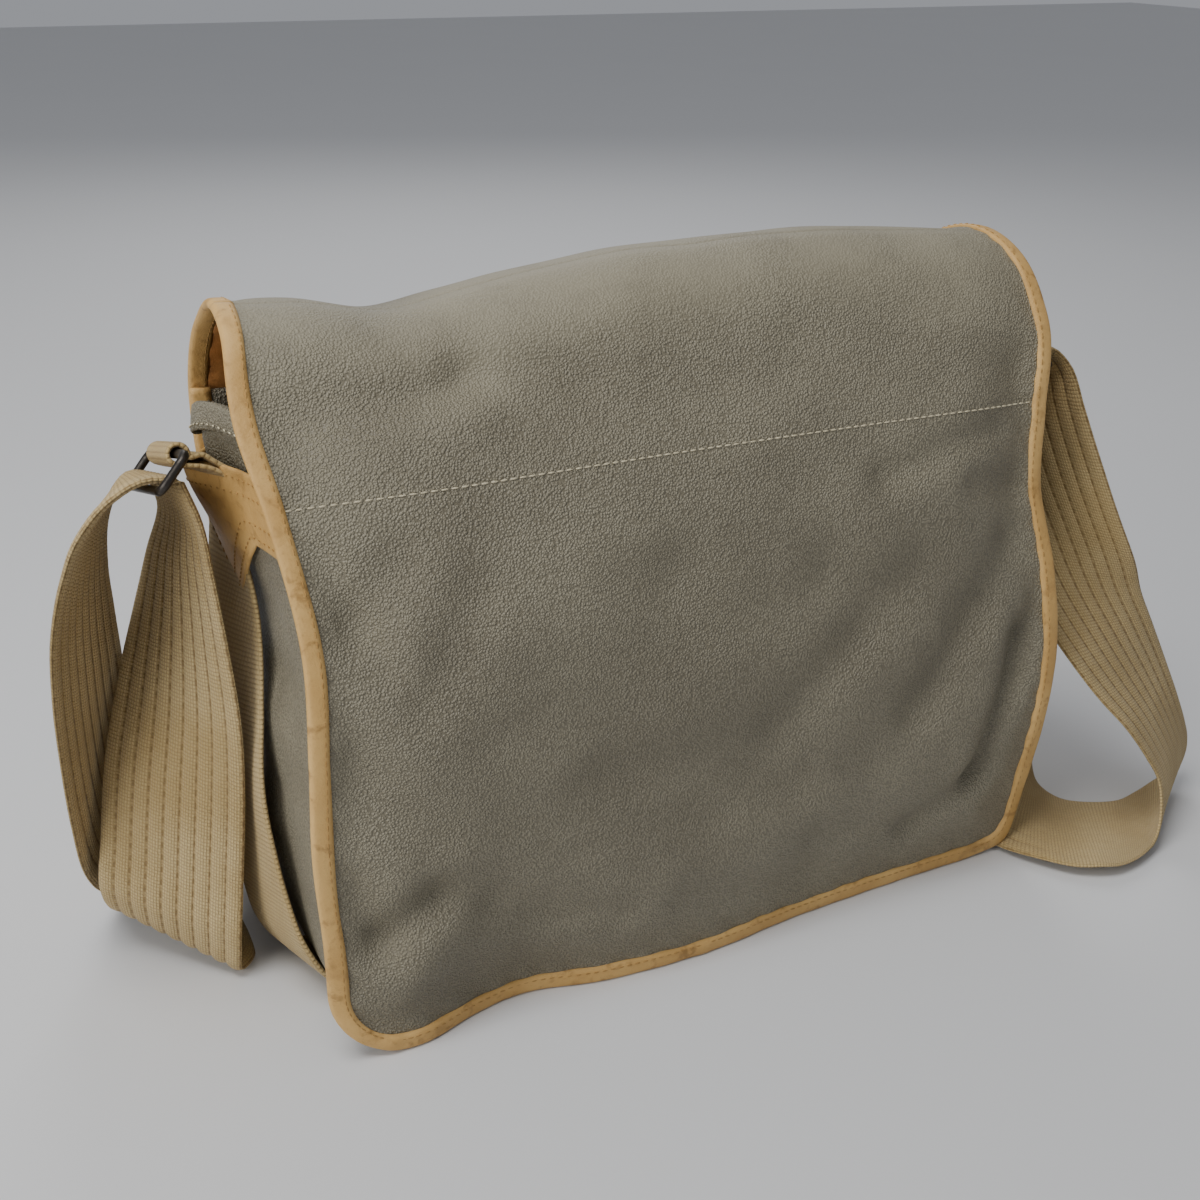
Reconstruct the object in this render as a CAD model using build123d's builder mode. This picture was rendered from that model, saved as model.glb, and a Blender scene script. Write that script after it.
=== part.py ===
from build123d import *
import os

# Leather messenger bag standing on its base, with a wide webbing shoulder strap.
# Frame: X along the width, -Y is the plain back panel, +Y the side that the flap closes,
# Z up. The origin is the middle of the flat underside of the support webbing.

# ---- driving dimensions (mm) ----
WIDTH = 400.0            # over the bound edges of back and flap
LEATHER = 1.6            # panel leather
LINING = 0.8             # lining cloth
BINDING_WIDTH = 9.0      # bound edge seen on each face
BINDING_BUILD = 4.6      # thickness of the bound edge
PANEL_EDGE = 1.0         # the leather stops this far inside the fold of its binding
CORNER_RADIUS = 38.0     # bottom corners of back, front and flap
GUSSET_INSET = 9.0       # the sides sit this far inside the bound edges
BASE_RISE = 3.2          # underside of the base panel
GUSSET_CORNER = 32.0     # bend from side to base
GUSSET_TOP = 285.0       # hem of the sides
BACK_TOP = 300.0         # where the back leather bends into the flap
FRONT_FACE = 78.0        # outer face of the front panel
FRONT_TOP = 280.0
FRONT_BUILD = 3.2        # the flatter bound edge under the flap
FLAP_FACE = 84.0         # outer face of the hanging flap
FLAP_BOTTOM = 80.0
SUPPORT_WIDTH = 50.0     # webbing that runs under the base and up both sides
WEBBING = 2.6            # thickness of all webbing
STRAP_WIDTH = 76.0       # shoulder strap
WIRE = 4.0               # ring and slide wire
RING_LENGTH = 82.0       # ring, between the centre lines of its short sides
FIT_GAP = 0.3            # clearance between neighbouring soft layers
SKIM = 0.02              # the slot cut for a panel is this much thicker than the panel
REACH = 400.0            # length of a cutting tool, more than any part

HALF = WIDTH / 2
SIDE_FACE = HALF - GUSSET_INSET                  # outer face of the sides
LINING_FACE = SIDE_FACE - LEATHER - FIT_GAP

BACK_LINE = [(-65.2, 0.0), (-64.4, 110.0), (-55.2, 200.0), (-40.2, 257.0), (-24.6, 298.6)]
FLAP_TOP_LINE = [(-22.4, 304.0), (-8.0, 322.0), (17.0, 331.6), (48.0, 325.0), (69.0, 309.0)]
FLAP_FRONT_LINE = [(77.6, 297.0), (82.2, 278.0), (83.2, 255.0)]

os.makedirs("parts", exist_ok=True)


def save(builder, name):
    """Label one finished piece and write it."""
    builder.part.label = name
    export_step(builder.part, f"parts/{name}.step")


# ---- profiles shared by the panels, their linings and their bindings ----
def back_profile(thickness, inward=0.0):
    """Side section of the back panel, moved inward along +Y."""
    with BuildSketch(Plane.YZ) as section:
        with BuildLine() as line:
            Spline([(y + inward, z) for y, z in BACK_LINE])
        trace(line.line, thickness)
    return section.sketch


def flap_top_profile(thickness, inward=0.0):
    """Side section of the flap where it arches over the opening."""
    with BuildSketch(Plane.YZ) as section:
        with BuildLine() as line:
            Spline([(y, z - inward) for y, z in FLAP_TOP_LINE])
        trace(line.line, thickness)
    return section.sketch


def flap_front_profile(thickness, inward=0.0):
    """Side section of the flap where it hangs down in front."""
    with BuildSketch(Plane.YZ) as section:
        with BuildLine() as line:
            points = [(y - inward, z) for y, z in FLAP_FRONT_LINE]
            curve = Spline(points)
            Line(curve @ 1, (points[-1][0], 0.0))
        trace(line.line, thickness)
    return section.sketch


def front_profile(thickness):
    """Side section of the flat front panel."""
    middle = FRONT_FACE - LEATHER / 2
    with BuildSketch(Plane.YZ) as section:
        with Locations((middle, FRONT_TOP / 2)):
            Rectangle(thickness, FRONT_TOP)
    return section.sketch


def panel_outline(inset, bottom, top):
    """Front view of a panel with round bottom corners, set in from its bound edge."""
    radius = CORNER_RADIUS - inset
    half = HALF - inset
    low = bottom + inset
    with BuildSketch(Plane.XZ) as outline:
        with BuildLine():
            FilletPolyline([(-half, top), (-half, low), (half, low), (half, top)], radius=radius)
            Line((half, top), (-half, top))
        make_face()
    return outline.sketch


def bound_edge(outer, inner, profile_outer, profile_inner):
    """Solid of a bound edge: the thicker edge strip less the panel leather in it."""
    with BuildPart() as edge:
        extrude(profile_outer, amount=HALF, both=True)
        extrude(outer, amount=REACH, both=True, mode=Mode.INTERSECT)
        extrude(inner, amount=REACH, both=True, mode=Mode.SUBTRACT)
        extrude(profile_inner, amount=HALF - PANEL_EDGE + SKIM, both=True, mode=Mode.SUBTRACT)
    return edge


# ---- back panel and its bound edge ----
with BuildPart() as back_panel:
    extrude(back_profile(LEATHER), amount=HALF, both=True)
    extrude(panel_outline(PANEL_EDGE, 0.0, REACH), amount=REACH, both=True, mode=Mode.INTERSECT)
save(back_panel, "back_panel")

back_binding = bound_edge(
    panel_outline(0.0, 0.0, REACH),
    panel_outline(BINDING_WIDTH, 0.0, REACH + 1),
    back_profile(BINDING_BUILD),
    back_profile(LEATHER + SKIM),
)
save(back_binding, "back_binding")

# ---- front panel under the flap, with its bound edge ----
with BuildPart() as front_panel:
    extrude(front_profile(LEATHER), amount=HALF, both=True)
    extrude(panel_outline(PANEL_EDGE, 0.0, FRONT_TOP), amount=REACH, both=True, mode=Mode.INTERSECT)
save(front_panel, "front_panel")

front_binding = bound_edge(
    panel_outline(0.0, 0.0, FRONT_TOP),
    panel_outline(BINDING_WIDTH, 0.0, FRONT_TOP + 1),
    front_profile(FRONT_BUILD),
    front_profile(LEATHER + SKIM),
)
save(front_binding, "front_binding")

# ---- sides and base: one strip in the real bag, seamed under the base ----
STRIP_BACK = 2.8         # clearance from the back panel's middle line to the strip's edge
STRIP_FRONT = FRONT_FACE - LEATHER - 1.4


def strip_side_view():
    """Side view of the space between back panel and front panel."""
    with BuildSketch(Plane.YZ) as view:
        with BuildLine():
            edge = Spline([(y + STRIP_BACK, z) for y, z in BACK_LINE])
            Polyline(edge @ 1, (STRIP_FRONT, BACK_TOP), (STRIP_FRONT, 0), edge @ 0)
        make_face()
    return view.sketch


def strip_front_view(face, rise, radius, thickness, top):
    """Front view of a strip that runs down one side, under the base and up the other side."""
    corners = [(-face, top), (-face, rise), (face, rise), (face, top)]
    with BuildSketch(Plane.XZ) as view:
        with BuildLine() as line:
            FilletPolyline(corners, radius=radius)
        trace(line.line, 2 * thickness)
        with BuildLine():
            FilletPolyline(corners, radius=radius)
            Line(corners[-1], corners[0])
        make_face(mode=Mode.INTERSECT)
    return view.sketch


BASE_SEAM = SIDE_FACE - GUSSET_CORNER - 2.0
side_strip = strip_front_view(SIDE_FACE, BASE_RISE, GUSSET_CORNER, LEATHER, GUSSET_TOP)
for side, name in ((1, "gusset_right"), (-1, "gusset_left")):
    with BuildPart() as gusset:
        extrude(side_strip, amount=REACH, both=True)
        extrude(strip_side_view(), amount=HALF, both=True, mode=Mode.INTERSECT)
        with BuildSketch():
            with Locations((side * (BASE_SEAM + HALF / 2), 0)):
                Rectangle(HALF, REACH)
        extrude(amount=REACH, mode=Mode.INTERSECT)
    save(gusset, name)

with BuildPart() as base_panel:
    extrude(strip_side_view(), amount=BASE_SEAM - 0.05, both=True)
    with BuildSketch(Plane.XY.offset(BASE_RISE)):
        Rectangle(WIDTH, REACH)
    extrude(amount=LEATHER, mode=Mode.INTERSECT)
save(base_panel, "base_panel")

# ---- stiffener board that lies in the base, under the lining ----
BOARD = (300.0, 118.0, 2.0)
BOARD_Y = 7.0
BOARD_Z = BASE_RISE + LEATHER
with BuildPart() as base_board:
    with BuildSketch(Plane.XY.offset(BOARD_Z)):
        with Locations((0, BOARD_Y)):
            RectangleRounded(BOARD[0], BOARD[1], 12)
    extrude(amount=BOARD[2])
save(base_board, "base_board")

# ---- lining: open-topped cloth bag inside the leather ----
LINING_FLOOR = BOARD_Z + BOARD[2] + 0.2
LINING_TOP = 272.0
LINING_CORNER = 32.0
LINING_FRONT = FRONT_FACE - LEATHER - 1.2
LINING_BACK = [(-61.4, LINING_FLOOR), (-61.0, 112.0), (-51.6, 200.0), (-36.6, 254.0),
               (-30.4, LINING_TOP)]


def lining_side_view(inset, floor, top):
    """Side view of the lining, inset from its outer face."""
    back = [(y + inset, z) for y, z in LINING_BACK]
    front = LINING_FRONT - inset
    corners = [(back[0][0], floor), *back[1:-1], (back[-1][0], top), (front, top), (front, floor)]
    with BuildSketch(Plane.YZ) as view:
        with BuildLine():
            Polyline(corners, close=True)
        make_face()
    return view.sketch


def lining_front_view(inset, floor, top):
    """Front view of the lining with its rounded bottom corners."""
    half = LINING_FACE - inset
    with BuildSketch(Plane.XZ) as view:
        with BuildLine():
            corners = [(-half, top), (-half, floor), (half, floor), (half, top)]
            FilletPolyline(corners, radius=LINING_CORNER)
            Line(corners[-1], corners[0])
        make_face()
    return view.sketch


def lining_block(inset, floor, top):
    """Solid block of the lining's outer form, inset from it."""
    with BuildPart() as block:
        extrude(lining_side_view(inset, floor, top), amount=HALF, both=True)
        front_view = lining_front_view(inset, floor, top)
        extrude(front_view, amount=REACH, both=True, mode=Mode.INTERSECT)
    return block.part


lining_room = lining_block(LINING, LINING_FLOOR + LINING, LINING_TOP + 1)
lining_form = lining_block(0.0, LINING_FLOOR, LINING_TOP)
with BuildPart() as lining:
    add(lining_form)
    add(lining_room, mode=Mode.SUBTRACT)
save(lining, "lining")

# ---- inner pocket: a panel hung from the seam across the back ----
POCKET_HALF = 150.0
POCKET_SEAM = 3.0        # width of the side walls, where the pocket is sewn to the lining
POCKET_WALL = 1.4
POCKET_LINE = [(-51.2, 90.0), (-50.4, 130.0), (-41.8, 200.0), (-28.2, 248.0)]
POCKET_BACK = [(-60.0, 90.0), (-59.6, 112.0), (-50.5, 198.5), (-36.4, 248.6)]
POCKET_ROOM = [(-62.0, 94.0), (-60.0, 112.0), (-52.0, 200.0), (-38.0, 252.0), (-28.0, 252.0),
               (-29.3, 247.0), (-42.6, 199.0), (-51.1, 130.0), (-51.8, 94.0)]
with BuildPart() as inner_pocket:
    with BuildSketch(Plane.YZ):
        with BuildLine() as pocket_line:
            Polyline(POCKET_LINE)
        trace(pocket_line.line, POCKET_WALL)
        with BuildLine():
            Polyline(POCKET_BACK + POCKET_LINE[::-1], close=True)
        make_face()
    extrude(amount=POCKET_HALF, both=True)
    with BuildSketch(Plane.YZ):
        with BuildLine():
            Polyline(POCKET_ROOM, close=True)
        make_face()
    extrude(amount=POCKET_HALF - POCKET_SEAM, both=True, mode=Mode.SUBTRACT)
save(inner_pocket, "inner_pocket")

# ---- support webbing: under the base and up both sides ----
SUPPORT_TOP = 260.0
SUPPORT_LEAN = [(8.0, 0.0), (8.0, 40.0), (30.0, 265.0)]      # middle of the band, Y against Z
SUPPORT_FACE = SIDE_FACE + FIT_GAP + WEBBING
half_band = SUPPORT_WIDTH / 2
SUPPORT_CORNER = GUSSET_CORNER + WEBBING + FIT_GAP
band_strip = strip_front_view(SUPPORT_FACE, 0.0, SUPPORT_CORNER, WEBBING, SUPPORT_TOP)
near_side = [(y - half_band, z) for y, z in SUPPORT_LEAN]
far_side = [(y + half_band, z) for y, z in SUPPORT_LEAN]
with BuildPart() as support_webbing:
    extrude(band_strip, amount=REACH, both=True)
    with BuildSketch(Plane.YZ):
        with BuildLine():
            Polyline(near_side + far_side[::-1], close=True)
        make_face()
    extrude(amount=HALF, both=True, mode=Mode.INTERSECT)
save(support_webbing, "support_webbing")

# ---- leather yokes on the sides, over the ends of the support webbing ----
PATCH_FACE = SUPPORT_FACE + 0.1
PATCH_OUTLINE = [(-34.2, 262.0), (-43.0, 232.0), (-6.0, 232.0), (28.0, 196.0), (54.0, 232.0),
                 (72.5, 232.0), (72.5, 262.0)]
for side, name in ((1, "side_patch_right"), (-1, "side_patch_left")):
    with BuildPart() as patch:
        with BuildSketch(Plane.YZ.offset(side * PATCH_FACE)):
            with BuildLine():
                Polyline(PATCH_OUTLINE, close=True)
            make_face()
        extrude(amount=side * LEATHER)
    save(patch, name)

# ---- flap: leather, lining and bound edge, in a top part and a hanging part ----
FLAP_LINED = LEATHER / 2 + LINING / 2 + SKIM
LINED_INSET = BINDING_WIDTH + 0.2     # the linings stop just inside the bound edge
with BuildPart() as flap_top:
    extrude(flap_top_profile(LEATHER), amount=HALF - PANEL_EDGE, both=True)
save(flap_top, "flap_top")

with BuildPart() as flap_lining_top:
    extrude(flap_top_profile(LEATHER + 2 * LINING), amount=HALF - LINED_INSET, both=True)
    extrude(flap_top_profile(LEATHER + 2 * SKIM), amount=HALF, both=True, mode=Mode.SUBTRACT)
    with BuildSketch(Plane.YZ):
        with BuildLine():
            arch = Spline(FLAP_TOP_LINE)
            Polyline(arch @ 1, (HALF, 309.0), (HALF, REACH), (-HALF, REACH), (-HALF, 304.0), arch @ 0)
        make_face()
    extrude(amount=HALF, both=True, mode=Mode.SUBTRACT)
save(flap_lining_top, "flap_lining_top")

with BuildPart() as flap_binding_top:
    extrude(flap_top_profile(BINDING_BUILD), amount=HALF, both=True)
    with BuildSketch(Plane.XZ):
        Rectangle(2 * (HALF - BINDING_WIDTH), 2 * REACH)
    extrude(amount=REACH, both=True, mode=Mode.SUBTRACT)
    slot = flap_top_profile(LEATHER + SKIM)
    extrude(slot, amount=HALF - PANEL_EDGE + SKIM, both=True, mode=Mode.SUBTRACT)
save(flap_binding_top, "flap_binding_top")

with BuildPart() as flap_front:
    extrude(flap_front_profile(LEATHER), amount=HALF, both=True)
    extrude(panel_outline(PANEL_EDGE, FLAP_BOTTOM, REACH), amount=REACH, both=True, mode=Mode.INTERSECT)
save(flap_front, "flap_front")

with BuildPart() as flap_lining_front:
    extrude(flap_front_profile(LINING, inward=FLAP_LINED), amount=HALF, both=True)
    lined_area = panel_outline(LINED_INSET, FLAP_BOTTOM, REACH)
    extrude(lined_area, amount=REACH, both=True, mode=Mode.INTERSECT)
    extrude(flap_front_profile(LEATHER + SKIM), amount=HALF + 1, both=True, mode=Mode.SUBTRACT)
save(flap_lining_front, "flap_lining_front")

flap_binding_front = bound_edge(
    panel_outline(0.0, FLAP_BOTTOM, REACH),
    panel_outline(BINDING_WIDTH, FLAP_BOTTOM, REACH + 1),
    flap_front_profile(BINDING_BUILD),
    flap_front_profile(LEATHER + SKIM),
)
save(flap_binding_front, "flap_binding_front")

# ---- magnetic snaps between flap and front panel ----
SNAP_X = (-110.0, 110.0)
SNAP_Z = 128.0
SNAP_RADIUS = 9.0
SOCKET_HOLE = 2.6
SOCKET_HEIGHT = 1.6
STUD_RADIUS = 8.5
STUD_HEIGHT = 1.2
STUD_PIN = 2.0           # radius of the stud's pin, which stands as high as the stud
STUD_BASE = FLAP_FACE - LEATHER - LINING - 0.06
with BuildPart() as snap_sockets:
    with BuildSketch(Plane.XZ.offset(-FRONT_FACE)):
        with Locations(*[(x, SNAP_Z) for x in SNAP_X]):
            Circle(SNAP_RADIUS)
            Circle(SOCKET_HOLE, mode=Mode.SUBTRACT)
    extrude(amount=-SOCKET_HEIGHT)
save(snap_sockets, "snap_sockets")

with BuildPart() as snap_studs:
    with BuildSketch(Plane.XZ.offset(-STUD_BASE)):
        with Locations(*[(x, SNAP_Z) for x in SNAP_X]):
            Circle(STUD_RADIUS)
    extrude(amount=STUD_HEIGHT)
    with BuildSketch(Plane.XZ.offset(-STUD_BASE + STUD_HEIGHT)):
        with Locations(*[(x, SNAP_Z) for x in SNAP_X]):
            Circle(STUD_PIN)
    extrude(amount=STUD_HEIGHT)
save(snap_studs, "snap_studs")

# ---- wire rings that join the support webbing to the strap ----
# Each ring leans back a little, so its bars fall towards +Y.
RING_LEAN = Vector(0, 0.96, -0.28).normalized()
RING_BARS = {"left": (Vector(-227, 30, 266), Vector(-239, 30, 252)),
             "right": (Vector(212, 30, 264), Vector(229, 30, 252))}
RING_CORNER = 5.0


def wire_ring(inner_bar, outer_bar, length):
    """Rectangular wire ring with its long bars through two points."""
    middle = (inner_bar + outer_bar) / 2
    across = outer_bar - inner_bar
    plane = Plane(origin=middle, x_dir=RING_LEAN, z_dir=RING_LEAN.cross(across))
    with BuildSketch(plane) as path_area:
        RectangleRounded(length, across.length, RING_CORNER)
    path = path_area.sketch.faces()[0].outer_wire()
    with BuildPart() as ring:
        with BuildSketch(Plane(origin=path @ 0, z_dir=path % 0)):
            Circle(WIRE / 2)
        sweep(path=path)
    return ring


LOOP_BORE = 4.4          # room for the ring's bar inside the webbing loop
LOOP_WIDTH = 46.0
LOOP_STANDOFF = 2.2      # gap between the side patch and the foot of the loop
for name, (inner_bar, outer_bar) in RING_BARS.items():
    save(wire_ring(inner_bar, outer_bar, RING_LENGTH), f"ring_{name}")
    outward = 1 if name == "right" else -1
    face = Plane(origin=inner_bar, x_dir=Vector(outward, 0, 0), z_dir=RING_LEAN * -outward)
    foot = abs(inner_bar.X) - (PATCH_FACE + LEATHER + LOOP_STANDOFF + WEBBING)
    with BuildPart() as ring_loop:
        with BuildSketch(face):
            Circle(LOOP_BORE + WEBBING)
            with BuildLine():
                Polyline([(0, -LOOP_BORE - 0.6), (-foot, -8.0), (-foot - WEBBING, -14.0),
                          (-foot - WEBBING, -8.0), (-LOOP_BORE, LOOP_BORE)], close=True)
            make_face()
            Circle(LOOP_BORE, mode=Mode.SUBTRACT)
        extrude(amount=LOOP_WIDTH / 2, both=True)
    save(ring_loop, f"ring_loop_{name}")

# ---- shoulder strap ----
# Each station is the strap's near edge and far edge, chosen by hand along its way.
STRAP_ROUTE = [
    ((-232, -7, 266.5), (-232, 66, 246)), ((-244, -7, 268), (-238.5, 66, 247)),
    ((-260, -7, 261), (-246, 65, 240)), ((-273, -7, 248), (-251, 64, 228)),
    ((-282, -4, 228), (-253, 65, 207)), ((-288, 2, 202), (-252, 68, 184)),
    ((-290, 12, 168), (-250, 76, 156)), ((-289, 26, 128), (-248, 90, 128)),
    ((-286, 42, 84), (-246, 102, 104)), ((-281, 62, 44), (-242, 112, 88)),
    ((-268, 90, 14), (-236, 122, 78)), ((-252, 112, 3), (-226, 128, 73)),
    ((-232, 124, 2.5), (-214, 131, 76)), ((-212, 128, 4), (-205, 128, 80)),
    ((-192, 128, 4), (-192, 128, 80)), ((-165, 128, 4), (-165, 128, 80)),
    ((-120, 124, 2), (-120, 124, 78)), ((-40, 111, 0.1), (-40, 111, 76.1)),
    ((40, 103, 0.1), (40, 103, 76.1)), ((110, 101, 0.1), (110, 101, 76.1)),
    ((165, 102, 0.1), (165, 102, 76.1)), ((194, 98, 0.1), (194, 98, 76.1)),
    ((209, 84, 0.3), (210, 84, 76.3)), ((208, 60, 0.6), (222, 66, 75)),
    ((206, 38, 1), (240, 50, 67)), ((203, 16, 1.5), (255, 28, 56)),
    ((199, -6, 2), (261, 8, 42)), ((195, -30, 2.5), (256, -4, 30)),
    ((193, -56, 3.5), (249, -14, 19)), ((201, -80, 6), (248, -23, 10)),
    ((213, -97, 7), (256, -35, 4)), ((226, -104, 8), (267, -43, 2.5)),
    ((238, -107, 7), (286, -49, 2)), ((255, -104, 7), (304, -47, 2.5)),
    ((268, -99, 9), (321, -44, 5)), ((275, -94, 18), (335, -46, 12)),
    ((277, -90, 30), (340, -46, 22)), ((275, -87, 42), (339, -46, 33)),
    ((268, -85, 53), (334, -47, 44)), ((254, -80, 73), (322, -48, 66)),
    ((238, -70, 93), (308, -45, 94)), ((221, -58, 117), (296, -45, 116)),
    ((209, -34, 147), (283, -44, 139)), ((210, 0, 178), (270, -45, 166)),
    ((214, 30, 208), (258, -32, 204)), ((224, 52, 234), (246, -20, 243)),
    ((237, 61, 244), (240, -12, 264)), ((229.5, 66, 251), (231, -7, 272)),
    ((223, 66.5, 249), (223, -6.5, 270)), ((221, 66.5, 240), (221, -6.5, 261)),
]
# The end that comes back down from the left ring, curls at the floor and goes to the slide.
TAIL_ROUTE = [
    ((-229.5, -7, 264.5), (-229.5, 66, 244)), ((-223.5, -6, 246), (-226, 68, 230)),
    ((-220, -3, 222), (-233, 70, 208)), ((-216, 0, 186), (-242, 70, 180)),
    ((-213, 0, 140), (-255, 62, 146)), ((-214, 1, 100), (-266, 56, 112)),
    ((-218, 3, 55), (-273, 54, 70)), ((-221, 6, 20), (-276, 54, 40)),
    ((-220, 12, 4), (-271, 63, 26)), ((-213, 21, 3), (-262, 71, 27)),
    ((-210, 36, 4), (-250, 82, 48)), ((-212, 62, 4), (-236, 92, 68)),
    ((-216, 84, 4), (-226, 98, 78)), ((-215, 102, 4), (-215, 104, 80)),
    ((-205, 113, 4), (-205, 113, 80)), ((-190, 118.7, 4), (-190, 118.7, 80)),
]


def ribbon(route):
    """Flat webbing lofted through the stations of a route, squared up to the strap's width."""
    middles = [(Vector(*near) + Vector(*far)) / 2 for near, far in route]
    with BuildPart() as strip:
        for index, (near, far) in enumerate(route):
            across = (Vector(*far) - Vector(*near)).normalized()
            ahead = middles[min(index + 1, len(route) - 1)] - middles[max(index - 1, 0)]
            heading = (ahead - across * ahead.dot(across)).normalized()
            with BuildSketch(Plane(origin=middles[index], x_dir=across, z_dir=heading)):
                Rectangle(STRAP_WIDTH, WEBBING)
        loft(ruled=True)
    return strip


shoulder_strap = ribbon(STRAP_ROUTE)
save(shoulder_strap, "shoulder_strap")
strap_tail = ribbon(TAIL_ROUTE)
save(strap_tail, "strap_tail")

# ---- three-bar slide on the stretch behind the bag ----
SLIDE_X = -184.0
SLIDE_HALF = 12.0                         # from the middle bar to each outer bar, along X
SLIDE_NEAR, SLIDE_FAR = 118.0, 133.5      # Y of the middle bar and of the two outer bars
SLIDE_FOOT, SLIDE_TOP = 0.2, 85.6
SLIDE_END = 3.0                           # thickness of the plates that join the bars
half_end = SLIDE_HALF + WIRE / 2
end_plate = [(SLIDE_X - half_end, SLIDE_FAR + 2), (SLIDE_X + half_end, SLIDE_FAR + 2),
             (SLIDE_X + half_end, SLIDE_FAR - 3), (SLIDE_X + 3, SLIDE_NEAR - 2),
             (SLIDE_X - 3, SLIDE_NEAR - 2), (SLIDE_X - half_end, SLIDE_FAR - 3)]
bars = [(SLIDE_X - SLIDE_HALF, SLIDE_FAR), (SLIDE_X + SLIDE_HALF, SLIDE_FAR), (SLIDE_X, SLIDE_NEAR)]
with BuildPart() as strap_slide:
    for height in (SLIDE_FOOT, SLIDE_TOP - SLIDE_END):
        with BuildSketch(Plane.XY.offset(height)):
            with BuildLine():
                Polyline(end_plate, close=True)
            make_face()
        extrude(amount=SLIDE_END)
    with BuildSketch(Plane.XY.offset(SLIDE_FOOT)):
        with Locations(*bars):
            Circle(WIRE / 2)
    extrude(amount=SLIDE_TOP - SLIDE_FOOT)
save(strap_slide, "strap_slide")

for label, route in (("strap", STRAP_ROUTE), ("tail", TAIL_ROUTE)):
    middles = [(Vector(*near) + Vector(*far)) / 2 for near, far in route]
    print(label, "length", round(sum((b - a).length for a, b in zip(middles, middles[1:]))))
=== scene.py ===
"""Looks of a leather messenger bag with a wide ribbed shoulder strap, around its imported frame.

Lengths of the object are written in millimetres and turned to metres when a mesh is made.
Frame: X along the width, -Y is the plain back panel, +Y the side the flap closes, Z up.
"""

import logging
import math
from dataclasses import dataclass, field
from enum import Enum
from typing import Sequence

import bmesh
import bpy
import numpy as np
from mathutils import Matrix


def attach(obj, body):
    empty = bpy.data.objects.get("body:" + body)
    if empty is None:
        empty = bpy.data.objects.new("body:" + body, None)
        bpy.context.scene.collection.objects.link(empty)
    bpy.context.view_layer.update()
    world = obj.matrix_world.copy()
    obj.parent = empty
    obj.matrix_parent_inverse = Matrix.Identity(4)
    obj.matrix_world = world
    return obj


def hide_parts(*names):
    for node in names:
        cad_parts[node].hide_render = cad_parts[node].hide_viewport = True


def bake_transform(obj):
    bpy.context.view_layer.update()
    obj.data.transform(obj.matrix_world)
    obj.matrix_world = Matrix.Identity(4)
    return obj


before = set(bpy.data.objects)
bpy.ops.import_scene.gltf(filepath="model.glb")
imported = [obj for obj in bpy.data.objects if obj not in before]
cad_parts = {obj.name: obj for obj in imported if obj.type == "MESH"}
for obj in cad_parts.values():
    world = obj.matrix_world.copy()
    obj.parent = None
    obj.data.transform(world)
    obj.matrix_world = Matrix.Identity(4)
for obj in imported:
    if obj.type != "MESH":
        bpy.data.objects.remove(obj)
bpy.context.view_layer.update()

MM = 0.001
log = logging.getLogger("messenger_bag")

EDGE_PITCH = 4.3                # from stitch to stitch along an edge
EDGE_INSET = 7.0                # from a bound edge's fold to its stitches
YOKE_PITCH = 3.6                # from stitch to stitch on the yokes
STRAP_RIBS = 9                  # stitched ribs across the shoulder strap
PRESSED_X = (190.0, 215.0)      # where the strap's ribs go flat beside the bag
PRESSED_Z = (25.0, 75.0)        # height over which they rise again
LOOP_LEVEL = 252.0              # height of the ring loops' feet
LOOP_TILT = (0.96, 0.28)        # cosine and sine of the ring bars' fall to the front
SIDES = {"left": -1, "right": 1}

Array = np.ndarray
Station = tuple[tuple[float, float, float], tuple[float, float, float]]
Colour = tuple[float, float, float, float]


# ---------------------------------------------------------------- curves and fields
def smooth_step(value: Array, low: float, high: float) -> Array:
    """Rise from 0 at low to 1 at high along 3t^2 - 2t^3."""
    t = np.clip((value - low) / (high - low), 0.0, 1.0)
    return t * t * (3.0 - 2.0 * t)


def bell(x: Array, at_x: float, wide: float, z: Array, at_z: float, high: float) -> Array:
    """Bell-shaped bump of height 1 at (at_x, at_z), fading over wide and high."""
    return np.exp(-(((x - at_x) / wide) ** 2) - ((z - at_z) / high) ** 2)


def hermite(knots: Array, values: Array, at: Array) -> Array:
    """Cubic curve through values at the knots.

    Formula: on each span, the cubic that meets both values with the slopes that
    numpy's gradient gives there.

    Args:
        knots: Rising parameters, one for each value.
        values: Numbers or rows of numbers.
        at: Parameters to read; outside the knots the end values hold.

    Returns:
        The curve's values, one row for each entry of at.
    """
    slopes = np.gradient(values, knots, axis=0)
    at = np.clip(at, knots[0], knots[-1])
    span = np.clip(np.searchsorted(knots, at, side="right") - 1, 0, len(knots) - 2)
    width = knots[span + 1] - knots[span]
    t = (at - knots[span]) / width
    shape = t.shape + (1,) * (values.ndim - 1)
    t, width = t.reshape(shape), width.reshape(shape)
    start, end = values[span], values[span + 1]
    bend = (t**3 - 2 * t**2 + t) * slopes[span] + (t**3 - t**2) * slopes[span + 1]
    return (2 * t**3 - 3 * t**2 + 1) * start + (3 * t**2 - 2 * t**3) * end + width * bend


def table(xs: Sequence[float], ys: Sequence[float], at: Array) -> Array:
    """Smooth curve through the pairs (xs, ys), read at an array of any shape."""
    flat = np.asarray(at, float).ravel()
    return hermite(np.asarray(xs, float), np.asarray(ys, float), flat).reshape(np.shape(at))


def length_along(points: Array) -> Array:
    """Running length of a line of points, starting at 0."""
    steps = np.linalg.norm(np.diff(points, axis=0), axis=1)
    return np.concatenate([[0.0], np.cumsum(steps)])


def read_rows(rows: Array, run: Array, at: Array) -> Array:
    """Rows read at given lengths, where run is the length at each row."""
    return np.stack([np.interp(at, run, column) for column in rows.T], axis=1)


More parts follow.
